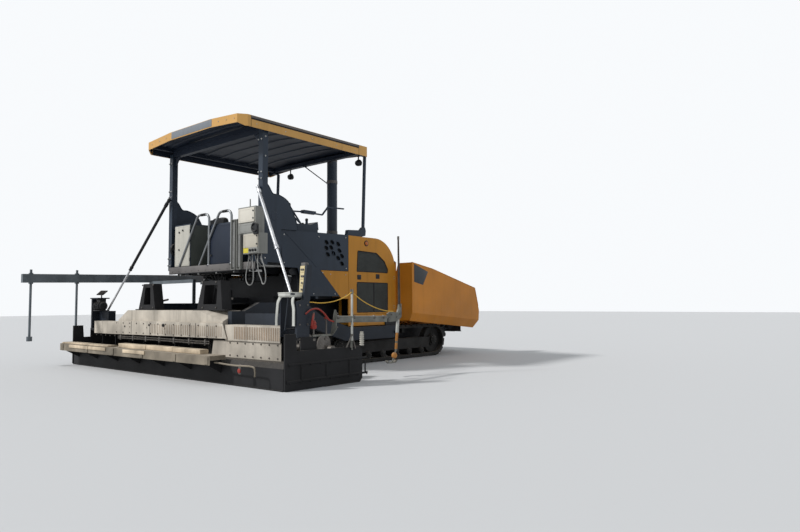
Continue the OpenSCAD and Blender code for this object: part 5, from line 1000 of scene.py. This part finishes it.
pole_line = np.column_stack([np.full(9, pole_x), np.linspace(1.7715, 1.7605, 9),
                             np.linspace(1.02, 2.037, 9)])
sleeve = tube(pole_line, np.linspace(0.0195, 0.0125, 9), 14)
piece("pole_sleeve", [sleeve], pole_brown, "screed")
beam_line = np.column_stack([np.full(7, 2.962), np.linspace(0.484, 1.488, 7), np.linspace(0.846, 0.828, 7)])
beam = moulding(beam_line, rounded(0.040, 0.072, 0.008, n=4), Z_AXIS)
piece("rig_beam", [beam], rig_steel, "screed")
rod_line = [(pole_x, rod_y, z) for z in np.linspace(0.562, 1.183, 6)]
link_line = [on_link(t) for t in (0.30, 0.44, 0.58)]
piece("rig_sleeves", [tube(rod_line, 0.0155, 14), tube(link_line, 0.0235, 14)], tray_pale, "screed")
orange_wrap = weathered("orange_wrap", (0.44, 0.19, 0.045), 0.6, dust=0.35, patch=12, spread=0.3, grain=200,
                        bump=0.3)
roller = [(0.012, -0.027), (0.034, -0.025), (0.044, -0.012), (0.044, 0.012), (0.034, 0.025), (0.012, 0.027)]
wraps = [tube([on_link(t0), on_link(t1)], 0.0195, 14) for t0, t1 in ((0.58, 0.76), (0.80, 0.93))]
wraps.append(lathe(roller, (pole_x, 1.655, 0.305), X_AXIS, 26))
piece("pole_wraps", wraps, orange_wrap, "screed")
tip = [(0.011, 0), (0.016, 0.002), (0.016, 0.05), (0.011, 0.054)]
foot_ring = [(0.009, 0), (0.020, 0.002), (0.020, 0.03), (0.009, 0.032)]
end_ring = [(0.024, 0), (0.027, 0.003), (0.027, 0.040), (0.020, 0.046)]
arm_ring = [(0.019, 0), (0.027, 0.003), (0.027, 0.030), (0.019, 0.033)]
clamp_bolts = [(1.53, 0.86), (1.58, 0.895), (1.70, 0.86), (1.77, 0.90), (1.79, 1.01), (0.49, 0.93),
               (0.49, 0.75)]
fittings = [lathe(tip, (pole_x, 1.7606, 1.99), Z_AXIS, 16),
            bolts([(2.984, y, z) for y, z in clamp_bolts], X_AXIS, 0.010)]
fittings += [tube([(pole_x, rod_y, 0.64), (pole_x, y, z)], 0.009)
             for y, z in ((0.675, 0.475), (0.845, 0.455))]
fittings += [lathe(foot_ring, (pole_x, rod_y, 0.62), Z_AXIS, 18),
             lathe(end_ring, (pole_x, 0.487, 0.882), Y_AXIS, 20)]
fittings += [lathe(arm_ring, (pole_x, y, z), (0, 1, -0.0187), 18)
             for y, z in ((0.80, 0.8757), (1.20, 0.8682), (1.40, 0.8645))]
piece("rig_fittings", fittings, worn_steel, "screed")
boot = [(0.016, 0)]
for k in range(6):
    a = 0.028 * k
    boot += [(0.031, 0.010 + a), (0.031, 0.022 + a), (0.021, 0.027 + a), (0.021, 0.033 + a)]
boot += [(0.026, 0.190), (0.012, 0.195)]
boot_rubber = weathered("boot_rubber", (0.46, 0.44, 0.39), 0.7, dust=0.4, patch=9, spread=0.3, bump=0.2)
piece("gate_boot", [lathe(boot, (2.9375, 1.005, 0.4805), Z_AXIS, 24)], boot_rubber, "end_gate_right")

# Levelling beam: a long box section on cross arms beside the left end, with posts that hang from it to
# their feet; welded steel in grey paint, dusty on top and streaked by rain.
grey_paint = weathered("grey_paint", (0.135, 0.155, 0.17), 0.5, dust=0.3, spread=0.3, streak=0.4)
dress(grey_paint, "averaging_beam")

# Tow arms: cranked arms burnt from thick plate and welded to their feet, in a blue that is nearly black,
# rubbed and dusty where they pass the tracks.
arm_dark = weathered("arm_dark", (0.014, 0.019, 0.028), 0.5, dust=0.22, spread=0.35, streak=0.3)
dress(arm_dark, "tow_arms")

# Hidden frame, engine and cylinders: dark primer under old oil and dust, with gland nuts, bands and hose
# ports on the lift cylinders; turned steel, screwed on.
dress(frame_dark, "chassis", "tunnel_roof", "cross_frames", "frame_brackets", "engine", "auger_frame",
      "push_beam", "lift_barrels", "wing_barrel_left", "wing_barrel_right")
gland_nut = [(0.026, -0.03), (0.052, -0.028), (0.052, -0.002), (0.044, 0.003), (0.026, 0.004)]
band = [(0.030, 0.0), (0.0505, 0.002), (0.0505, 0.012), (0.030, 0.014)]
hose_port = [(0.010, 0), (0.017, 0.002), (0.017, 0.018), (0.012, 0.022), (0.012, 0.040), (0.006, 0.042)]
high, low = np.array((1.23, 1.57)), np.array((1.09, 0.79))
reach = np.linalg.norm(low - high)
run = np.array((0, *((low - high) / reach)))
glands = []
for s in (-1, 1):
    start = np.array((s * 1.15, *high))
    glands.append(lathe(gland_nut, start + run * 0.6 * reach, run, 26))
    glands.append(lathe(band, start + run * 0.066, run, 26))
    glands += [lathe(hose_port, start + run * d + (0, -0.046, -0.012), (0, -1, 0.1), 6)
               for d in (0.10, 0.40)]
piece("lift_glands", glands, zinc, "lift_barrels")

# Tracks: dark shoes and frames crusted with dust, their steel darkened further as painted shade, bolted
# hubs on sprocket and idler, and a turned cap on each roller; forged and turned steel.
# The track steel is coloured darker than it is, as painted shade for the shadow that lies over the tracks.
track_steel = weathered("track_steel", (0.026, 0.025, 0.024), 0.65, metal=0.3, dust=0.35, patch=5,
                        spread=0.4, grain=90, bump=0.5)
dress(track_steel, "track_left", "track_right", "track_frames")
hub = [(0.02, 0), (0.088, 0.001), (0.088, 0.014), (0.070, 0.020), (0.046, 0.020), (0.042, 0.030),
       (0.012, 0.034)]
roller_cap = [(0.01, 0), (0.052, 0.001), (0.048, 0.010), (0.026, 0.012), (0.024, 0.020), (0.006, 0.022)]
hub_z = 0.32
turns = np.linspace(0, 2 * pi, 8, endpoint=False)
wheels, studs_out = [], []
for s in (-1, 1):
    out = (s, 0, 0)
    for y, reach in ((2.25, 1.240), (4.95, 1.220)):
        wheels.append(lathe(hub, (s * reach, y, hub_z), out, 32))
        stud_ring = np.column_stack([np.full(8, s * (reach + 0.016)), y + 0.078 * np.cos(turns),
                                     hub_z + 0.078 * np.sin(turns)])
        studs_out.append(bolts(stud_ring, out, 0.007))
    wheels += [lathe(roller_cap, (s * 1.220, 2.63 + 0.388 * k, 0.134), out, 26) for k in range(6)]
piece("track_hubs", wheels, track_steel, "tractor")
piece("hub_studs", studs_out, worn_steel, "tractor")

# Conveyors, augers and push rollers: welded and turned steel, rubbed bare in work and dusty on top;
# the augers and the rollers turn on their shafts.
dress(worn_steel, "conveyors", "auger_left", "auger_right", "push_roller_left", "push_roller_right")
